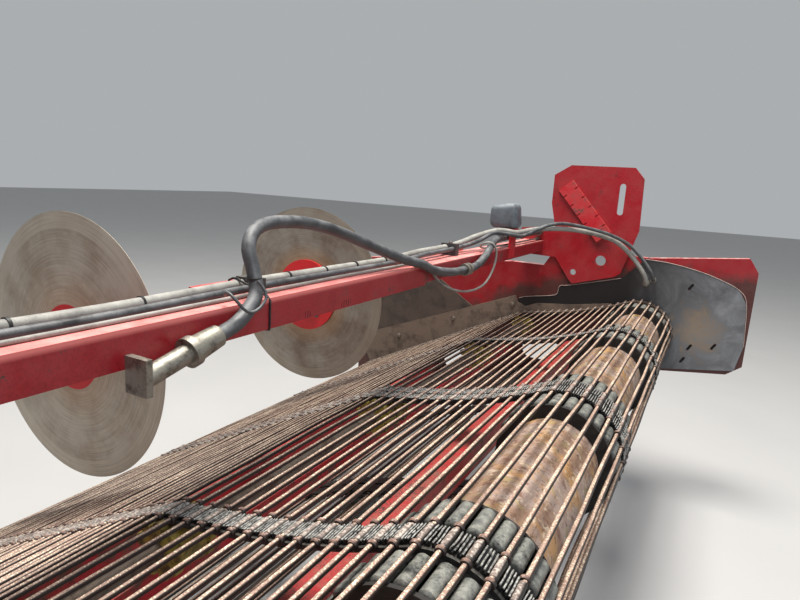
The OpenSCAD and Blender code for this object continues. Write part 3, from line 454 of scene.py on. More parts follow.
def scuffed_sheet(name):
    """A rubber sheet that the crop scuffs pale towards the rear, with one patch of soil."""
    made, tree, shader, place = new_material(name)
    split = add(tree, "ShaderNodeSeparateXYZ", {"Vector": place})
    rearward = add(tree, "ShaderNodeMapRange", {
        "Value": split.outputs["X"], "From Min": SCUFF_FROM, "From Max": SCUFF_TO})
    swirls = add(tree, "ShaderNodeTexNoise", {
        "Vector": place, "Scale": 1000 / SWIRL_MM, "Detail": 8.0, "Roughness": 0.7,
        "Distortion": 1.2})
    pale_mask = add(tree, "ShaderNodeMapRange", {
        "Value": swirls, "From Min": 0.3, "From Max": 0.72, "To Min": 0.25, "To Max": 1.0})
    scuffed = add(tree, "ShaderNodeMath", {0: rearward, 1: pale_mask}, operation="MULTIPLY")
    grey = add(tree, "ShaderNodeMix", {
        "Factor": scuffed, UNDER: colour("#1a191b"), OVER: colour("#84868a")},
        data_type="RGBA")
    from_patch = add(tree, "ShaderNodeVectorMath", {
        0: place, 1: SOIL_PATCH}, operation="DISTANCE")
    ragged = add(tree, "ShaderNodeMath", {
        0: swirls, 1: 0.6, 2: from_patch}, operation="MULTIPLY_ADD")
    patch = add(tree, "ShaderNodeMapRange", {
        "Value": ragged, "From Min": 0.42, "From Max": 0.31, "To Max": 0.55})
    overlaid = add(tree, "ShaderNodeMix", {
        "Factor": patch, UNDER: grey, OVER: colour("#927d66")}, data_type="RGBA")
    dents = add(tree, "ShaderNodeBump", {
        "Height": swirls, "Strength": 0.5, "Distance": 2.0 * MM})
    fill(tree, shader, {"Base Color": overlaid, "Normal": dents, "Roughness": 0.42})
    return made


def worn_highlit_rubber(name, black, grey):
    """Black rubber whose raised lips are worn and painted grey as a highlight where a mesh's numbers
    say so.
    """
    made, tree, shader, place = new_material(name)
    worn = add(tree, "ShaderNodeAttribute", attribute_name="worn")
    patches = add(tree, "ShaderNodeTexNoise", {
        "Vector": place, "Scale": 1000 / NIBBLE_MM, "Detail": 4.0, "Roughness": 0.65})
    broken = add(tree, "ShaderNodeMapRange", {
        "Value": patches, "From Min": 0.36, "From Max": 0.62})
    lips = add(tree, "ShaderNodeMapRange", {
        "Value": worn.outputs["Fac"], "From Min": 0.55, "From Max": 0.95})
    mask = add(tree, "ShaderNodeMath", {0: lips, 1: broken}, operation="MULTIPLY")
    mixed = add(tree, "ShaderNodeMix", {
        "Factor": mask, UNDER: colour(black), OVER: colour(grey)}, data_type="RGBA")
    dents = add(tree, "ShaderNodeBump", {
        "Height": patches, "Strength": 0.6, "Distance": 0.4 * MM})
    fill(tree, shader, {"Base Color": mixed, "Normal": dents, "Roughness": 0.38})
    return made


# %% [markdown]
# A coulter disc is hardened steel that the soil scours in circles, so its scratches come
# from noise read along the radius only. Dust and a painted sheen pale the bevelled rim, a
# stain of ochre soil surrounds the hub, and the middle is painted like the hub's cover.

# %% A function for scoured discs
DISC_PLACE = (-1027, -178)           # the disc centres, as X and Z
DISC_RADIUS = 370
BEVEL_FROM, BEVEL_TO = 48, 42        # where the rim begins, in from the disc's edge
STAIN_FROM, STAIN_TO = 225, 130      # the radii between which the stain comes in
PAINT_FROM, PAINT_TO = 119.5, 118    # the radii between which the paint begins
RING_MM, RUST_MM = 3, 110            # how far apart the scratches are, how wide the stains
SLOWLY = 0.004                       # how little a scratch changes on its way round


def scoured_disc(name, steel, rust, dust_and_sheen, ochre_share=0.7):
    """Steel with fine rings, rust stains, a rim pale with dust and painted sheen, and a painted
    middle.
    """
    made, tree, shader, place = new_material(name)
    split = add(tree, "ShaderNodeSeparateXYZ", {"Vector": place})
    across = add(tree, "ShaderNodeMath", {
        0: split.outputs["X"], 1: DISC_PLACE[0] * MM}, operation="SUBTRACT")
    upward = add(tree, "ShaderNodeMath", {
        0: split.outputs["Z"], 1: DISC_PLACE[1] * MM}, operation="SUBTRACT")
    flat = add(tree, "ShaderNodeCombineXYZ", {"X": across, "Y": upward})
    radius = add(tree, "ShaderNodeVectorMath", {0: flat}, operation="LENGTH")
    around = add(tree, "ShaderNodeMath", {0: upward, 1: across}, operation="ARCTAN2")
    slow_turn = add(tree, "ShaderNodeMath", {0: around, 1: SLOWLY}, operation="MULTIPLY")
    along_radius = add(tree, "ShaderNodeCombineXYZ", {"X": radius, "Y": slow_turn})
    rings = add(tree, "ShaderNodeTexNoise", {
        "Vector": along_radius, "Scale": 1000 / RING_MM, "Detail": 5.0, "Roughness": 0.7})
    stains = add(tree, "ShaderNodeTexNoise", {
        "Vector": place, "Scale": 1000 / RUST_MM, "Detail": 7.0, "Roughness": 0.62})
    stain_mask = add(tree, "ShaderNodeMapRange", {
        "Value": stains, "From Min": 0.4, "From Max": 0.66, "To Max": 0.8})
    ring_shade = add(tree, "ShaderNodeMapRange", {
        "Value": rings, "From Min": 0.3, "From Max": 0.7, "To Min": 0.72, "To Max": 1.2})
    # The bevelled rim: pale with dust and a painted sheen.
    edge_mask = add(tree, "ShaderNodeMapRange", {
        "Value": radius, "From Min": (DISC_RADIUS - BEVEL_FROM) * MM,
        "From Max": (DISC_RADIUS - BEVEL_TO) * MM, "To Max": 0.45})
    stained = add(tree, "ShaderNodeMix", {
        "Factor": stain_mask, UNDER: colour(steel), OVER: colour(rust)}, data_type="RGBA")
    edged = add(tree, "ShaderNodeMix", {
        "Factor": edge_mask, UNDER: stained, OVER: colour(dust_and_sheen)}, data_type="RGBA")
    halo = add(tree, "ShaderNodeMapRange", {
        "Value": radius, "From Min": STAIN_FROM * MM, "From Max": STAIN_TO * MM,
        "To Max": ochre_share})
    ochre = add(tree, "ShaderNodeMix", {
        "Factor": halo, UNDER: edged, OVER: colour("#b78f68")}, data_type="RGBA")
    painted = add(tree, "ShaderNodeMapRange", {
        "Value": radius, "From Min": PAINT_FROM * MM, "From Max": PAINT_TO * MM})
    red_middle = add(tree, "ShaderNodeMix", {
        "Factor": painted, UNDER: ochre, OVER: colour("#c8141f")}, data_type="RGBA")
    shaded = add(tree, "ShaderNodeMix", {
        "Factor": 1.0, UNDER: red_middle, OVER: ring_shade}, data_type="RGBA",
        blend_type="MULTIPLY")
    grooves = add(tree, "ShaderNodeBump", {
        "Height": rings, "Strength": 0.7, "Distance": 0.3 * MM})
    fill(tree, shader, {"Base Color": shaded, "Normal": grooves, "Metallic": 0.5,
                        "Roughness": 0.46})
    return made


# %% [markdown]
# The drums wear a skin of dried soil over rust. Six noises, from coarse to fine, lay pink,
# ochre, olive, rust, pale and dark patches over each other. A thin band of one more noise
# draws the cracks in the skin.

# %% The drums' skin
SKIN = [                             # colour, size in millimetres, threshold of the noise
    ("#a08d84", 110, 0.46), ("#ad8350", 80, 0.52), ("#8f8152", 34, 0.56),
    ("#6b4839", 24, 0.55), ("#c0ae97", 18, 0.56), ("#3a2a22", 9, 0.58),
]
CRACK_MM = 55                        # how far apart the cracks are


def soil_skin(name):
    """Dried soil in patches of six colours, with cracks, over a drum."""
    made, tree, shader, place = new_material(name)
    surface = colour("#876b58")
    for number, (tint, size_mm, low) in enumerate(SKIN):
        moved = add(tree, "ShaderNodeMapping", {
            "Vector": place, "Location": (number * 3.1, number * 1.7, number * 2.3)})
        patch = add(tree, "ShaderNodeTexNoise", {
            "Vector": moved, "Scale": 1000 / size_mm, "Detail": 7.0, "Roughness": 0.62})
        mask = add(tree, "ShaderNodeMapRange", {
            "Value": patch, "From Min": low, "From Max": low + 0.09, "To Max": 0.8})
        surface = add(tree, "ShaderNodeMix", {
            "Factor": mask, UNDER: surface, OVER: colour(tint)}, data_type="RGBA")
    skin = add(tree, "ShaderNodeTexNoise", {
        "Vector": place, "Scale": 1000 / CRACK_MM, "Detail": 5.0, "Roughness": 0.55,
        "Distortion": 0.6})
    off_line = add(tree, "ShaderNodeMath", {0: skin, 1: 0.5}, operation="SUBTRACT")
    distance = add(tree, "ShaderNodeMath", {0: off_line}, operation="ABSOLUTE")
    crack = add(tree, "ShaderNodeMapRange", {
        "Value": distance, "From Min": 0.001, "From Max": 0.006, "To Min": 0.75,
        "To Max": 0.0})
    cracked = add(tree, "ShaderNodeMix", {
        "Factor": crack, UNDER: surface, OVER: colour("#3d2c24")}, data_type="RGBA")
    relief = add(tree, "ShaderNodeBump", {
        "Height": skin, "Strength": 1.0, "Distance": 3.0 * MM})
    fill(tree, shader, {"Base Color": cracked, "Normal": relief, "Roughness": 0.72})
    return made


# %% [markdown]
# Now the finishes that these functions make, each with its own colours.

# %% Finishes of the webs, drums, sheets and discs
drum_steel = soil_skin("soil_skinned_drum_steel")
rod_steel = pitted_rod_with_painted_light("pitted_rod_steel_painted_light", "#9c8072", "#e6d6bc", "#140d0a",
                       pale_share=0.36)
sleeve_rubber = pitted_rod_with_painted_light("worn_sleeve_rubber", "#776a63", "#b3a79d", "#151210",
                           pale_share=0.5, fleck_mm=5.0)
collar_steel = pitted_rod_with_painted_light("rusty_collar_steel_painted_light", "#7d6257", "#ae9487", "#180f0c",
                          pale_share=0.4, fleck_mm=5.0)
rib_rubber = worn_highlit_rubber("worn_highlit_rib_rubber", "#0d0d0d", "#aeada8")
outer_rib_rubber = worn_highlit_rubber("soiled_highlit_rib_rubber", "#3d3028", "#8b7a6a")
black_sheet = scuffed_sheet("scuffed_black_sheet")
disc_steel = scoured_disc("scoured_disc_steel", "#9c9388", "#745f50", "#a79c8c")
pale_disc_steel = scoured_disc("dusty_disc_steel", "#b8aea0", "#988673", "#c6bbab",
                               ochre_share=0.3)
print("finishes", len(bpy.data.materials))

# %% [markdown]
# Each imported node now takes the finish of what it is. A table keeps this readable: one
# row for each finish, with the nodes that wear it.

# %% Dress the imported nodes
WEARS = [
    (wall_enamel, ["left_side_plate", "right_side_plate"]),
    (lit_enamel, ["side_flanges"]),
    (bracket_enamel, ["pivot_brackets"]),
    (beam_enamel, ["beam_tube", "beam_extension"]),
    (enamel, ["notched_racks", "arm_brackets", "left_disc_arm", "right_disc_arm"]),
    (washed_enamel, ["rear_cross_tube"]),
    (under_enamel, ["middle_cross_tube", "nose_cross_tube"]),
    (hub_enamel, ["left_disc_hub", "right_disc_hub"]),
    (soiled_liner, ["left_wall_liner", "right_wall_liner"]),
    (soiled_strip, ["edge_strips"]),
    (black_sheet, ["rubber_sheets"]),
    (cast_housing, ["bearing_housings", "hose_saddles"]),
    (bare_shaft, ["drive_shaft", "support_shaft", "return_shaft", "nose_shaft",
                  "nose_tensioners", "left_disc_axle", "right_disc_axle"]),
    (drum_steel, ["drive_drums"]),
    (cog_rubber, ["drive_wheels", "return_wheels", "nose_wheels"]),
    (yellow_plastic, ["support_wheels"]),
    (rod_steel, ["left_web_rods", "right_web_rods"]),
    (belt_rubber, ["left_web_belts", "right_web_belts"]),
    (plated_fitting, ["hose_fittings"]),
    (hose_cover, ["beam_hoses", "sensor_cable"]),
    (black_hose, ["arch_hose"]),
    (box_plastic, ["junction_box"]),
    (pale_disc_steel, ["left_disc"]),
    (disc_steel, ["right_disc"]),
]
for finish, names in WEARS:
    for name in names:
        nodes[name].data.materials.clear()
        nodes[name].data.materials.append(finish)
dressed = sum(len(names) for finish, names in WEARS)
print("nodes dressed", dressed, "of", len(nodes))

# %% [markdown]
# ## Repeating a piece on points
# The webs have over two hundred rods, and each rod carries sleeves and collars. A Geometry
# Nodes tree puts a copy of one piece on every point of a small mesh. Each point carries
# its own turn, size and seed, so the tree needs no arithmetic about places. The copies
# are realized into one mesh, because a finished piece has to be a plain mesh. The last
# step bends long pieces by noise read along their length, shifted by the seed, because
# used rods are never quite straight.

# %% The repeating tree
def repeat_tree():
    tree = bpy.data.node_groups.new("repeat_on_points", "GeometryNodeTree")
    for label, kind in (("Points", "NodeSocketGeometry"), ("Piece", "NodeSocketObject"),
                        ("Finish", "NodeSocketMaterial"), ("Bend", "NodeSocketFloat"),
                        ("Waves", "NodeSocketFloat")):
        tree.interface.new_socket(label, in_out="INPUT", socket_type=kind)
    tree.interface.new_socket("Copies", in_out="OUTPUT", socket_type="NodeSocketGeometry")
    start = add(tree, "NodeGroupInput")
    piece = add(tree, "GeometryNodeObjectInfo", {"Object": start.outputs["Piece"]})
    turn = add(tree, "GeometryNodeInputNamedAttribute", {
        "Name": "turn"}, data_type="FLOAT_VECTOR")
    size = add(tree, "GeometryNodeInputNamedAttribute", {"Name": "size"}, data_type="FLOAT")
    seed = add(tree, "GeometryNodeInputNamedAttribute", {"Name": "seed"}, data_type="FLOAT")
    copies = add(tree, "GeometryNodeInstanceOnPoints", {
        "Points": start.outputs["Points"], "Instance": piece.outputs["Geometry"],
        "Rotation": turn, "Scale": size})
    joined = add(tree, "GeometryNodeRealizeInstances", {"Geometry": copies})
    place = add(tree, "ShaderNodeSeparateXYZ", {
        "Vector": add(tree, "GeometryNodeInputPosition")})
    lengthways = add(tree, "ShaderNodeCombineXYZ", {"Y": place.outputs["Y"]})
    waves = add(tree, "ShaderNodeTexNoise", {
        "Vector": lengthways, "W": seed, "Scale": start.outputs["Waves"], "Detail": 1.0},
        noise_dimensions="4D")
    centred = add(tree, "ShaderNodeVectorMath", {
        0: waves.outputs["Color"], 1: (0.5, 0.5, 0.5)}, operation="SUBTRACT")
    sideways = add(tree, "ShaderNodeVectorMath", {
        0: centred, 1: (1.0, 0.0, 1.0)}, operation="MULTIPLY")
    offset = add(tree, "ShaderNodeVectorMath", {
        0: sideways, "Scale": start.outputs["Bend"]}, operation="SCALE")
    bent = add(tree, "GeometryNodeSetPosition", {"Geometry": joined, "Offset": offset})
    painted = add(tree, "GeometryNodeSetMaterial", {
        "Geometry": bent, "Material": start.outputs["Finish"]})
    add(tree, "NodeGroupOutput", {"Copies": painted})
    return tree


def run_tree(name, tree, source, values):
    """The plain mesh that a tree makes out of a source mesh, as an object at the origin."""
    holder = in_scene(name + "_source", source)
    modifier = holder.modifiers.new("tree", "NODES")
    modifier.node_group = tree
    for item in tree.interface.items_tree:
        if item.in_out == "INPUT" and item.name in values:
            modifier[item.identifier] = values[item.name]
    bpy.context.view_layer.update()
    graph = bpy.context.evaluated_depsgraph_get()
    mesh = bpy.data.meshes.new_from_object(holder.evaluated_get(graph))
    bpy.data.objects.remove(holder)
    return in_scene(name, mesh)


REPEAT = repeat_tree()
MOST_SEED = 900
dice = np.random.default_rng(11)
print("repeating tree", len(REPEAT.nodes), "nodes")


def repeat(name, piece, rows, finish, body="frame", bend=0.0, waves=2.4):
    """Copies of a piece at rows of X, Y, Z, turns about X, Y, Z, and size."""
    rows = np.array(rows, dtype=float)
    source = bpy.data.meshes.new(name + "_points")
    source.from_pydata(rows[:, 0:3].tolist(), [], [])
    source.attributes.new("turn", "FLOAT_VECTOR", "POINT").data.foreach_set(
        "vector", rows[:, 3:6].astype(np.float32).ravel())
    source.attributes.new("size", "FLOAT", "POINT").data.foreach_set(
        "value", rows[:, 6].astype(np.float32))
    source.attributes.new("seed", "FLOAT", "POINT").data.foreach_set(
        "value", (dice.random(len(rows)) * MOST_SEED).astype(np.float32))
    made = run_tree(name, REPEAT, source, {
        "Piece": piece, "Finish": finish, "Bend": bend, "Waves": waves})
    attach(made, body)
    print(name, len(rows), "copies,", len(made.data.polygons), "faces")
    return made


# %% [markdown]
# The pieces to repeat are of two kinds. A turned piece is a profile spun about the Y
# axis, which every shaft and rod here follows. A drawn piece is an outline in X and Z
# pulled along Y. Both stay hidden themselves: only their copies are seen.

# %% Turned and drawn pieces
def keep_hidden(name, points, faces, smooth, worn=None):
    """An object that stays out of the scene, with round or sharp edges."""
    mesh = bpy.data.meshes.new(name)
    mesh.from_pydata(points, [], faces)
    if worn:
        mesh.attributes.new("worn", "FLOAT", "POINT").data.foreach_set("value", worn)
    mesh.shade_smooth()
    if not smooth:
        mesh.set_sharp_from_angle(angle=math.radians(35))
    return bpy.data.objects.new(name, mesh)


def spun(profile, sides):
    """Corners and faces of (y, radius) pairs in millimetres, spun about the Y axis."""
    points, faces = [], []
    for y, radius in profile:
        for k in range(sides):
            angle = 2 * math.pi * k / sides
            points.append((radius * MM * math.sin(angle), y * MM, radius * MM * math.cos(angle)))
    for i in range(len(profile) - 1):
        for k in range(sides):
            a, b = i * sides + k, i * sides + (k + 1) % sides
            faces.append((a, a + sides, b + sides, b))
    faces.append(tuple(range(sides)))
    last = (len(profile) - 1) * sides
    faces.append(tuple(last + k for k in reversed(range(sides))))
    return points, faces


def turned(name, profile, sides, smooth=False):
    """A hidden piece spun from a profile."""
    return keep_hidden(name, *spun(profile, sides), smooth)


def drawn(name, outline, length, cuts=1):
    """An outline of (x, z, wear and painted highlight) rows in millimetres, pulled along Y in a few
    steps.
    """
    count = len(outline)
    points = [(x * MM, (step / cuts - 0.5) * length * MM, z * MM)
              for step in range(cuts + 1) for x, z, wear_and_light in outline]
    worn = [wear_and_light for step in range(cuts + 1) for x, z, wear_and_light in outline]
    last = cuts * count
    faces = [tuple(reversed(range(count))), tuple(range(last, last + count))]
    for step in range(cuts):
        for k in range(count):
            a, b = step * count + k, step * count + (k + 1) % count
            faces.append((a, b, b + count, a + count))
    return keep_hidden(name, points, faces, smooth=False, worn=worn)


# %% [markdown]
# ## Where the rods are
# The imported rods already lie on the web's real path, so their ends are read instead of
# working the path out again. The corners at one end fall into small groups, one for each
# rod, and the middle of a group is a rod's centre. Following the nearest neighbour puts
# them in order round the loop.

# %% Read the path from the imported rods
ROD_RADIUS = 5.0
ROD_END = 1.5                        # only the rods' outer ends lie past this, along Y
SAME_ROD = 0.012                     # corners that lie nearer than this are on one rod


def rod_centres(node):
    """The rods' centres as X and Z, in order round the loop."""
    corners = np.array([vertex.co for vertex in node.data.vertices])
    at_end = corners[np.abs(corners[:, 1]) > ROD_END][:, [0, 2]]
    left_over = np.unique(np.round(at_end, 5), axis=0)
    centres = []
    while len(left_over):
        near = np.hypot(*(left_over - left_over[0]).T) < SAME_ROD
        group = left_over[near]
        centres.append((group.min(0) + group.max(0)) / 2)
        left_over = left_over[~near]
    centres = np.array(centres)
    order, waiting = [0], set(range(1, len(centres)))
    while waiting:
        here = centres[order[-1]]
        order.append(min(waiting, key=lambda k: np.hypot(*(centres[k] - here))))
        waiting.remove(order[-1])
    loop = centres[order]
    ahead = np.roll(loop, -1, axis=0)
    area = np.sum(loop[:, 0] * ahead[:, 1] - ahead[:, 0] * loop[:, 1]) / 2
    return loop[::-1] if area > 0 else loop


RODS = rod_centres(nodes["right_web_rods"])
steps = np.hypot(*(np.roll(RODS, -1, axis=0) - RODS).T)
print("rods in a loop", len(RODS),
      "pitch", round(steps.min(), 4), "to", round(steps.max(), 4))


def on_path(share):
    """Places at a share of the way from each rod to the next, on a smooth curve through
    the rods, and the turns there."""
    before, at, after, beyond = (np.roll(RODS, k, axis=0) for k in (1, 0, -1, -2))
    square = 2 * before - 5 * at + 4 * after - beyond
    cube = 3 * at - before - 3 * after + beyond
    place = at + 0.5 * ((after - before) * share + square * share ** 2 + cube * share ** 3)
    run = (after - before) + 2 * square * share + 3 * cube * share ** 2
    return place, np.arctan2(-run[:, 1], run[:, 0])


# %% [markdown]
# ## The webs
# Each belt is named by the distance of its middle from the machine's middle, and its
# width. Rods run the whole width of a web. A rod is turned in many short steps along its
# length, so that the tree can bend it a little.

# %% Build the rods of both webs
BELTS = ((27, 44), (784, 60), (1476, 60))
ROD_ENDS = (4, 1512)
ROD_STEPS = 16                       # in each half of a rod
ROD_BEND = 0.010
SIDES = (("left", -1), ("right", 1))
rod_middle = sum(ROD_ENDS) / 2
half_rod = (ROD_ENDS[1] - ROD_ENDS[0]) / 2

rod = turned("rod", [(-half_rod + half_rod * k / ROD_STEPS, ROD_RADIUS)
                     for k in range(2 * ROD_STEPS + 1)], sides=10, smooth=True)
for side, sign in SIDES:
    place, turn = on_path(0.0)
    rows = [(x, sign * rod_middle * MM, z, 0, angle, 0, 1)
            for (x, z), angle in zip(place, turn)]
    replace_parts(repeat("worn_rods_" + side, rod, rows, rod_steel, bend=ROD_BEND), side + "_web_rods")

# %% [markdown]
# Over a belt a rod wears a rubber sleeve, and a small steel collar stands at each side of
# the belt. Between two rods the belt carries two ribs with a groove along the top; the
# wheels and the crop wear their lips, which also carry a painted highlight. All of them
# are rows along the same path.

# %% Sleeves, collars and ribs
def belt_rows(shares, y_shifts=(0.0,), belts=BELTS):
    """A row for each belt, each share of the pitch and each shift in half belt widths."""
    rows = []
    for sign in (-1, 1):
        for middle, width in belts:
            for share in shares:
                place, turn = on_path(share)
                for shift in y_shifts:
                    y = sign * (middle + shift * width / 2) * MM
                    rows += [(x, y, z, 0, angle, 0, 1)
                             for (x, z), angle in zip(place, turn)]
    return rows


COLLAR_SHIFT = 1.08                  # half belt widths from a belt's middle to a collar
RIB_SHARES = (0.345, 0.655)          # where the two ribs lie between one rod and the next
RIB_LENGTH, RIB_BEND, RIB_WAVES = 46, 0.006, 22.0

sleeve = turned("sleeve", [(-24, 5), (-22, 6.8), (-8, 7.3), (8, 7.3), (22, 6.8), (24, 5)],
                sides=12)
repeat("rod_sleeves", sleeve, belt_rows((0.0,)), sleeve_rubber)
collar = turned("collar", [(-4.5, 5), (-4, 7.4), (-2, 8.9), (2, 8.9), (4, 7.4), (4.5, 5)],
                sides=12)
repeat("rod_collars", collar, belt_rows((0.0,), (-COLLAR_SHIFT, COLLAR_SHIFT)),
       collar_steel)
RIB = [                                  # x, z, and how much wear and painted highlight it carries
    (-4.4, -6, 0), (4.4, -6, 0), (4.6, 1, 0), (4.4, 3.6, 1), (3.2, 4.4, 1), (2.0, 3.4, 1),
    (1.2, -1, 0), (-1.2, -1, 0), (-2.0, 3.4, 1), (-3.2, 4.4, 1), (-4.4, 3.6, 1), (-4.6, 1, 0),
]
rib = drawn("rib", RIB, RIB_LENGTH, cuts=8)
for name, belts, finish in (("belt_ribs", BELTS[:2], rib_rubber),
                            ("outer_belt_ribs", BELTS[2:], outer_rib_rubber)):
    repeat(name, rib, belt_rows(RIB_SHARES, belts=belts), finish, bend=RIB_BEND,
           waves=RIB_WAVES)

# %% [markdown]
# ## Drive wheels
# Beside each belt the drive shaft carries a ring of rubber cogs that push against the rods.
# The cogs are rounded rollers standing free of a narrower core, and they sit half-way
# between the rods, so their places follow from the rods that lie on the wheel.

# %% Cogs, cores and flanges
DRIVE = np.array((215, -315)) * MM
ON_WHEEL = 0.152                     # rods lie on the wheel where they are nearer than this
COGS, COG_RADIUS, COG_LENGTH, COG_CIRCLE = 24, 14, 72, 133
CORE_RADIUS, FLANGE_RADIUS, FLANGE_DEPTH = 114, 141, 8
SEAT_RADIUS, SHAFT_RADIUS = 133, 31
BELT_SIDE = 14                       # from a belt's edge to the cogs
WHEELS_END = 1518                    # where the outer wheels end, along Y
out_from_drive = RODS - DRIVE
on_wheel = out_from_drive[np.hypot(*out_from_drive.T) < ON_WHEEL]
first_cog = math.atan2(on_wheel[0][1], on_wheel[0][0]) + math.pi / COGS


def wheel_profile(start, end, inner, outer):
    """One drive wheel: flange, core, seat, core and flange, as (y, radius) pairs."""
    profile = [(start, SHAFT_RADIUS), (start, SEAT_RADIUS), (end, SEAT_RADIUS),
               (end, SHAFT_RADIUS)]
    if inner:
        reach = start - COG_LENGTH
        profile = [
            (reach - FLANGE_DEPTH, SHAFT_RADIUS), (reach - FLANGE_DEPTH, FLANGE_RADIUS),
            (reach, FLANGE_RADIUS), (reach, CORE_RADIUS), (start, CORE_RADIUS)] + profile[1:]
    if outer:
        reach = end + COG_LENGTH
        profile = profile[:-1] + [
            (end, CORE_RADIUS), (reach, CORE_RADIUS), (reach, FLANGE_RADIUS),
            (reach + FLANGE_DEPTH, FLANGE_RADIUS), (reach + FLANGE_DEPTH, SHAFT_RADIUS)]
    return profile


cog_rows = []
WHEELS = (("middle", False, True), ("half_way", True, True), ("outer", True, False))
for (kind, inner, outer), (middle, width) in zip(WHEELS, BELTS):
    start = 0 if kind == "middle" else middle - width / 2 - BELT_SIDE
    end = WHEELS_END if kind == "outer" else middle + width / 2 + BELT_SIDE
    wheel = turned("wheel_" + kind, wheel_profile(start, end, inner, outer), sides=72)
    both = [(DRIVE[0], 0, DRIVE[1], 0, 0, angle, 1) for angle in (0, math.pi)]
    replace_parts(repeat("drive_wheels_" + kind, wheel, both, wheel_core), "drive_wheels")
    for side, sign in SIDES:
        for y, wanted in ((start - COG_LENGTH / 2, inner), (end + COG_LENGTH / 2, outer)):
            angles = [first_cog + 2 * math.pi * k / COGS
                      for k in range(COGS if wanted else 0)]
            cog_rows += [(DRIVE[0] + COG_CIRCLE * MM * math.cos(a), sign * y * MM,
                          DRIVE[1] + COG_CIRCLE * MM * math.sin(a), 0, 0, 0, 1)
                         for a in angles]
half_cog = COG_LENGTH / 2
cog = turned("cog", [(-half_cog, 8), (-half_cog + 1, 11), (-half_cog + 4, COG_RADIUS),
                     (half_cog - 4, COG_RADIUS), (half_cog - 1, 11), (half_cog, 8)],
             sides=20)
repeat("drive_cogs", cog, cog_rows, cog_rubber)

# %% [markdown]
# ## Hoses along a route
# A hose that follows the beam is a line of points and a radius. The second tree turns the
# points into a smooth curve that passes through each of them, samples it evenly, and
# sweeps a circle along it.

# %% The hose tree
HOSE_STEP = 0.012                    # from one ring of corners to the next, in metres
HOSE_SIDES = 16


def hose_tree():
    tree = bpy.data.node_groups.new("hose_along_points", "GeometryNodeTree")
    for label, kind in (("Points", "NodeSocketGeometry"), ("Radius", "NodeSocketFloat"),
                        ("Finish", "NodeSocketMaterial")):
        tree.interface.new_socket(label, in_out="INPUT", socket_type=kind)
    tree.interface.new_socket("Hose", in_out="OUTPUT", socket_type="NodeSocketGeometry")
    start = add(tree, "NodeGroupInput")
    line = add(tree, "GeometryNodeMeshToCurve", {"Mesh": start.outputs["Points"]})
    smooth = add(tree, "GeometryNodeCurveSplineType", {
        "Curve": line}, spline_type="CATMULL_ROM")
    even = add(tree, "GeometryNodeResampleCurve", {
        "Curve": smooth, "Length": HOSE_STEP}, mode="LENGTH")
    circle = add(tree, "GeometryNodeCurvePrimitiveCircle", {
        "Resolution": HOSE_SIDES, "Radius": start.outputs["Radius"]})
    swept = add(tree, "GeometryNodeCurveToMesh", {
        "Curve": even, "Profile Curve": circle, "Fill Caps": True})
    soft = add(tree, "GeometryNodeSetShadeSmooth", {"Geometry": swept})
    painted = add(tree, "GeometryNodeSetMaterial", {
        "Geometry": soft, "Material": start.outputs["Finish"]})
    add(tree, "NodeGroupOutput", {"Hose": painted})
    return tree


HOSE = hose_tree()
print("hose tree", len(HOSE.nodes), "nodes")


def hose(name, points, radius, finish):
    """A hose through points in millimetres, as a piece on the frame."""
    source = bpy.data.meshes.new(name + "_line")
    source.from_pydata([Vector(p) * MM for p in points],
                       [(k, k + 1) for k in range(len(points) - 1)], [])
    made = run_tree(name, HOSE, source, {"Radius": radius * MM, "Finish": finish})
    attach(made, "frame")
    print(name, len(made.data.polygons), "faces")
    return made


# %% [markdown]
# The routes are the imported hoses' own: where each hose lies was chosen one by one along the
# beam, so the tables below give the same points in millimetres.

# %% Lay the hoses
SEAT = 0.6                           # the gap between the beam and a hose on it
HOSE_X, HOSE_RADIUS = -372, 11
THIN_X, THIN_RADIUS = -342, 8
ALONG = [                            # y, rise over the beam's top, sway
    (-1500, 6, 0), (-1400, 6, 0), (-1180, 3, 0), (-900, 0, 3), (-560, 3, 0), (-250, 0, -3),
    (60, 0, 1), (240, 8, 2), (480, 10, 0),
]
THICK_END = [                        # x, y, z from here on
    (-370, 600, 106), (-352, 740, 128), (-318, 860, 146), (-290, 910, 144),
    (-266, 955, 138), (-262, 1045, 139), (-240, 1100, 146), (-201, 1160, 152),
    (-139, 1250, 154), (-65, 1340, 146), (19, 1400, 127), (80, 1436, 102),
    (148, 1452, 45), (208, 1454, -28), (221, 1462, -58), (222, 1476, -75),
    (222, 1494, -80), (222, 1508, -80),
]
THIN_END = [
    (-338, 620, 103), (-328, 720, 118), (-312, 800, 139), (-290, 860, 137),
    (-262, 910, 131), (-243, 955, 126), (-240, 1045, 130), (-214, 1100, 150),
    (-180, 1160, 170), (-128, 1250, 178), (-19, 1340, 158), (64, 1400, 132),
    (136, 1436, 94), (192, 1446, 41), (236, 1452, -14), (250, 1462, -42),
    (252, 1478, -58), (252, 1494, -62), (252, 1508, -62),
]
ARCH_RADIUS = 14
ARCH = [
    (-256, -790, 30), (-256, -750, 40), (-258, -710, 50), (-262, -677, 67),
    (-270, -643, 95), (-288, -632, 138), (-300, -632, 176), (-312, -610, 203),
    (-322, -570, 218), (-326, -505, 223), (-325, -405, 216), (-319, -290, 191),
    (-308, -165, 152), (-287, -22, 108), (-268, 70, 86), (-263, 150, 60),
    (-264, 290, 40), (-265, 420, 36), (-265, 520, 40), (-265, 600, 66), (-273, 680, 98),
    (-296, 800, 114), (-318, 1000, 112), (-312, 1240, 114), (-312, 1500, 114),
]
CABLE_RADIUS = 4
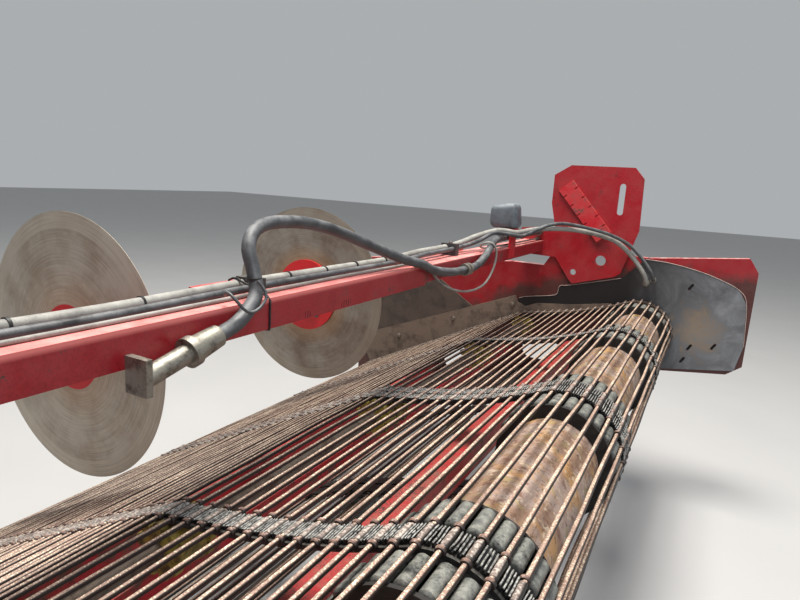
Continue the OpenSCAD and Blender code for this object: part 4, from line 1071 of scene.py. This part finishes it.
CABLE = [
    (-320, -1500, 87), (-320, -1400, 87), (-320, -1100, 82), (-318, -700, 82),
    (-320, -300, 82), (-314, -80, 82), (-304, 60, 83), (-298, 122, 84), (-290, 140, 83),
    (-284, 158, 70), (-283, 175, 52), (-280, 200, 30), (-272, 240, 4), (-270, 350, -30),
    (-270, 460, -48), (-268, 560, -50), (-262, 625, -34), (-254, 664, 6), (-248, 676, 52),
    (-250, 672, 92), (-268, 658, 114), (-296, 650, 108), (-314, 676, 92), (-318, 760, 82),
    (-318, 980, 80), (-316, 1240, 80), (-316, 1500, 80),
]


def beside(x, radius):
    return [(x + sway, y, BEAM_TOP + radius + SEAT + rise) for y, rise, sway in ALONG]


thick = hose("thick_beam_hose", beside(HOSE_X, HOSE_RADIUS) + THICK_END, HOSE_RADIUS,
             hose_cover)
thin = hose("thin_beam_hose", beside(THIN_X, THIN_RADIUS) + THIN_END, THIN_RADIUS,
            black_hose)
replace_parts(thick, "beam_hoses")
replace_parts(thin, "beam_hoses")
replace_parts(hose("arched_hose", ARCH, ARCH_RADIUS, black_hose), "arch_hose")
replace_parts(hose("thin_cable", CABLE, CABLE_RADIUS, hose_cover),
            "sensor_cable")

# %% [markdown]
# The same tree draws the small things that are cords in shape: a black strap round the
# beam, a loose cable tail under the arch, and the pale rim along the rubber sheets, worn by
# use and painted as a highlight. Short rings tie the thick hose down.

# %% Straps, tails and rims
TIE_RADIUS, TIE_Y = 2.4, -588
BEAM_STRAP = [(x, TIE_Y, z) for x, z in (
    (-282, 60), (-282, 30), (-283, 12), (-290, 11), (-340, 10), (-390, 11), (-396, 13),
    (-396, 45), (-396, 78), (-392, 100), (-372, 106), (-352, 99), (-330, 95), (-304, 84),
    (-286, 79), (-282, 74), (-282, 60))]
hose("beam_strap", BEAM_STRAP, TIE_RADIUS, tie_plastic)
TAIL_RADIUS = 3
CABLE_TAIL = [
    (-262, -648, 122), (-250, -644, 108), (-246, -641, 94), (-245, -650, 82),
    (-245, -666, 72), (-245, -685, 70), (-245, -702, 78), (-247, -716, 93),
    (-256, -722, 105), (-268, -720, 109), (-284, -708, 104), (-298, -696, 96),
]
hose("cable_tail", CABLE_TAIL, TAIL_RADIUS, black_hose)
SHEET_RIM = [
    (-386, -242), (-341, -228), (-225, -207), (-192, -192), (-182, -150), (-130, -139),
    (106, -74),
]
REAR_RIM = [(205, 30), (305, 25), (430, 3), (530, -27), (610, -65), (645, -125), (662, -315)]
RIM_RADIUS = 1.6
RIM_Y = 1523
for side, sign in SIDES:
    for label, rim in (("front_rim_", SHEET_RIM), ("rear_rim_", REAR_RIM)):
        hose(label + side, [(x, sign * RIM_Y, z) for x, z in rim], RIM_RADIUS, rim_wear_and_highlight)
ring = turned("tie_ring", [(-2.5, 11.2), (-2.5, 12.8), (2.5, 12.8), (2.5, 11.2)],
              sides=16)
TIES = [                             # x, y, z, turn about X, size
    (-372, -1290, 93.6, 0, 1), (-371, -1040, 90.4, 0, 1), (-371, -820, 89.2, 0, 1),
    (-373, -421, 90.4, 0, 1), (-375, -275, 88.8, 0, 1), (-373, -135, 88.8, 0, 1),
    (-371, 20, 89.5, 0, 1), (-282, -636, 122, math.pi / 2, 1.2),
]
repeat("hose_ties", ring, [(x * MM, y * MM, z * MM, turn, 0, 0, size)
                           for x, y, z, turn, size in TIES], tie_plastic)

# %% [markdown]
# ## Painted shadow in the slots
# The slots of the rubber sheets lie in deep shade, so a thin black plug of painted shadow lies in
# each.

# %% Slot plugs
SLOTS = ((413, -75), (445, -358), (543, -337), (424, -423))
SLOT_LENGTH, SLOT_HALF = 12, 6
SLOT_LEAN = math.radians(60)
PLUG_FACE = 1527.5
ARC_STEPS = 6


def slot_outline(x, z):
    """Two half circles, one round each end of a slot."""
    outline = []
    for way in (SLOT_LEAN, SLOT_LEAN + math.pi):
        end_x = x + SLOT_LENGTH / 2 * math.cos(way)
        end_z = z + SLOT_LENGTH / 2 * math.sin(way)
        for step in range(ARC_STEPS + 1):
            angle = way + math.pi * (step / ARC_STEPS - 0.5)
            outline.append((end_x + SLOT_HALF * math.cos(angle),
                            end_z + SLOT_HALF * math.sin(angle)))
    return outline


plug_points, plug_faces = [], []
for side, sign in SIDES:
    for x, z in SLOTS:
        outline = slot_outline(x, z)
        first = len(plug_points)
        plug_points += [(px * MM, sign * PLUG_FACE * MM, pz * MM) for px, pz in outline]
        plug_faces.append(tuple(range(first, first + len(outline))))
plug_mesh = bpy.data.meshes.new("slot_plugs")
plug_mesh.from_pydata(plug_points, [], plug_faces)
plug_mesh.materials.append(shadow_and_scratch_black)
plugs = in_scene("slot_plugs", plug_mesh)
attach(plugs, "frame")
print("slot plugs", len(plug_faces))

# %% [markdown]
# ## The junction box
# The moulded box has round corners all over. Small balls stand where its corners are, and
# the convex hull round them is the shell. Its foot is a bent plate of enamelled steel.

# %% Shell and foot
BOX_Y, BOX_BASE, CORNER_RADIUS, CORNER_Y = 1000, 152, 24, 24
CORNERS = [(-366, 24), (-290, 24), (-366, 74), (-298, 84)]
shell_mesh = bpy.data.meshes.new("junction_box_shell")
shell = bmesh.new()
for x, z in CORNERS:
    for y in (-CORNER_Y, CORNER_Y):
        bmesh.ops.create_icosphere(
            shell, subdivisions=3, radius=CORNER_RADIUS * MM,
            matrix=Matrix.Translation(Vector((x, BOX_Y + y, BOX_BASE + z)) * MM))
hull = bmesh.ops.convex_hull(shell, input=shell.verts)
inside = [item for item in hull["geom_interior"] if isinstance(item, bmesh.types.BMVert)]
bmesh.ops.delete(shell, geom=inside, context="VERTS")
shell.to_mesh(shell_mesh)
shell.free()
shell_mesh.shade_smooth()
shell_mesh.materials.append(box_plastic)
box_shell = in_scene("junction_box_shell", shell_mesh)
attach(box_shell, "frame")
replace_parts(box_shell, "junction_box")

foot_mesh = bpy.data.meshes.new("junction_box_foot")
foot = bmesh.new()
FOOT = [                             # the least and the greatest x, y and z of each plate
    ((-294, 960, 25), (-288, 1040, 146)), ((-343, 960, 146), (-280, 1040, 152)),
]
for low, high in FOOT:
    middle = (Vector(low) + Vector(high)) / 2 * MM
    size = (Vector(high) - Vector(low)) * MM
    bmesh.ops.create_cube(foot, size=1.0,
                          matrix=Matrix.Translation(middle) @ Matrix.Diagonal((*size, 1)))
foot.to_mesh(foot_mesh)
foot.free()
foot_mesh.materials.append(enamel)
box_foot = in_scene("junction_box_foot", foot_mesh)
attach(box_foot, "frame")
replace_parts(box_foot, "junction_box")
print("box shell faces", len(shell_mesh.polygons))

# %% [markdown]
# ## Fasteners
# A bolt head is a washer and a hexagon, and fastens the edge strips, the bearing housings
# and the hose saddles. Each bolt is a row in a table: where it sits, which way it faces and
# how large it is. The facing is a turn that carries the head's own Y axis, along which it
# was spun, to the outward direction.

# %% Bolts
FACES = {"right": (0, 0, 0), "left": (0, 0, math.pi), "up": (math.pi / 2, 0, 0),
         "rear": (0, 0, -math.pi / 2)}
WALL = 1530
STRIP_FACE = WALL - 10
HOUSING_FACE = WALL + 8 + 14         # past the side plate and a housing's own depth
BOLT_SPREAD = 0.76                   # a housing's bolts, as a share of its half width
washer_points, washer_faces = spun([(-1, 15), (2, 15)], sides=20)
hexagon_points, hexagon_faces = spun([(1.9, 12), (10, 12), (11, 10.5)], sides=6)
head = keep_hidden("bolt", washer_points + hexagon_points,
                   washer_faces + [tuple(k + len(washer_points) for k in face)
                                   for face in hexagon_faces], smooth=False)
STRIP_BOLTS = [(-420, -281), (-750, -412), (-1085, -570)]
HOUSINGS = [(215, -315, 60), (-332, -369, 40), (-385, -690, 40)]   # x, z, half width

bolts = []
for facing, sign in (("left", 1), ("right", -1)):
    turn = FACES[facing]
    bolts += [(x * MM, sign * STRIP_FACE * MM, z * MM, *turn, 0.9) for x, z in STRIP_BOLTS]
for facing, sign in (("right", 1), ("left", -1)):
    for x, z, half in HOUSINGS:
        bolts += [((x + i * half * BOLT_SPREAD) * MM, sign * HOUSING_FACE * MM,
                   (z + k * half * BOLT_SPREAD) * MM, *FACES[facing], 0.8)
                  for i in (-1, 1) for k in (-1, 1)]
repeat("frame_bolts", head, bolts, bare_shaft)

SADDLE_X = -357
SADDLES = ((-1180, 107), (-560, 107), (480, 114))
saddle_rows = [(SADDLE_X * MM, y * MM, z * MM, *FACES["up"], 0.55) for y, z in SADDLES]
repeat("saddle_bolts", head, saddle_rows, bare_shaft)

# %% [markdown]
# Two groups of short dark scratches cross the lower edge of the beam's rear face, and four
# painted plugs close the small holes in the same face.

# %% Scratches and plugs on the beam
BEAM_FACE = -284
scratch = drawn("scratch", [(-0.2, -8, 0), (0.3, -8, 0), (0.3, 8, 0), (-0.2, 8, 0)],
                length=1.6)
SCRATCHES = [                        # y, z, lean in degrees, size
    (-468, 24, 8, 0.7), (-459, 22, -4, 1), (-451, 21, 5, 0.9), (-326, 22, 6, 0.6),
    (-316, 25, -3, 1), (-305, 26, 4, 0.8), (-296, 24, -6, 1), (-286, 25, 3, 0.7),
]
repeat("beam_scratches", scratch,
       [(BEAM_FACE * MM, y * MM, z * MM, math.radians(lean), 0, 0, size)
        for y, z, lean, size in SCRATCHES], shadow_and_scratch_black)
plug = turned("plug", [(-3, 5.1), (0.1, 5.1)], sides=24)
BEAM_HOLES = (-380, -358, -150, -128)
HOLE_HEIGHT = 51
repeat("beam_plugs", plug, [(BEAM_FACE * MM, y * MM, HOLE_HEIGHT * MM, *FACES["rear"], 1)
                            for y in BEAM_HOLES], beam_enamel)

# %% [markdown]
# The disc covers carry a ring of bolts. These belong to the turning discs, so each ring
# is its own piece and rides on its disc.

# %% Bolts of the disc covers
COVER_FACE = 518                     # the covers' outer faces, from the middle
COVER_BOLTS, BOLT_CIRCLE, FIRST_BOLT = 5, 100, 20
angles = [math.radians(360 / COVER_BOLTS * k + FIRST_BOLT) for k in range(COVER_BOLTS)]
for side, sign in SIDES:
    ring = [((DISC_PLACE[0] + BOLT_CIRCLE * math.cos(a)) * MM, sign * COVER_FACE * MM,
             (DISC_PLACE[1] + BOLT_CIRCLE * math.sin(a)) * MM,
             *FACES["left" if side == "right" else "right"], 0.8) for a in angles]
    repeat("cover_bolts_" + side, head, ring, bare_shaft, body=side + "_disc")

# %% [markdown]
# ## Stage and light
# The stage is a plain pale floor. The photograph was taken under a bright cloudy sky, so
# the world gives most of the light, and two large lamps add a soft direction.

# %% Floor and lights
FLOOR_Z = -1120
HALF_FLOOR = 30.0                    # in metres
floor_finish, tree, shader, place = new_material("plain_pale_floor")
cloudy = add(tree, "ShaderNodeTexNoise", {"Vector": place, "Scale": 2.0, "Detail": 3.0})
grey = add(tree, "ShaderNodeMapRange", {"Value": cloudy, "To Min": 0.42, "To Max": 0.46})
fill(tree, shader, {"Base Color": grey, "Roughness": 0.9})

floor_mesh = bpy.data.meshes.new("floor")
floor_mesh.from_pydata([(x * HALF_FLOOR, y * HALF_FLOOR, FLOOR_Z * MM)
                        for x, y in ((-1, -1), (1, -1), (1, 1), (-1, 1))],
                       [], [(0, 1, 2, 3)])
floor_mesh.materials.append(floor_finish)
floor = in_scene("floor", floor_mesh)

world = bpy.data.worlds.new("cloudy_sky")
world.use_nodes = True
fill(world.node_tree, world.node_tree.nodes["Background"],
     {"Color": colour("#e9edf0"), "Strength": 0.5})
bpy.context.scene.world = world

LAMPS = [                      # name, place in metres, width, watts, colour
    ("sky_lamp", (-0.6, 0.2, 6.2), 3.2, 900, "#fffaf2"),
    ("rear_lamp", (3.4, -2.6, 2.2), 2.6, 90, "#f2f6ff"),
]
AIM = Vector((-0.3, 0, -0.3))
for name, place, width, watts, tint in LAMPS:
    lamp = bpy.data.lights.new(name, "AREA")
    lamp.shape = "DISK"
    lamp.size = width
    lamp.energy = watts
    lamp.color = colour(tint)[:3]
    holder = in_scene(name, lamp)
    holder.location = place
    holder.rotation_euler = (AIM - Vector(place)).to_track_quat("-Z", "Y").to_euler()
print("lamps", len(LAMPS), "floor at", FLOOR_Z)

bpy.context.scene.view_settings.view_transform = "Standard"
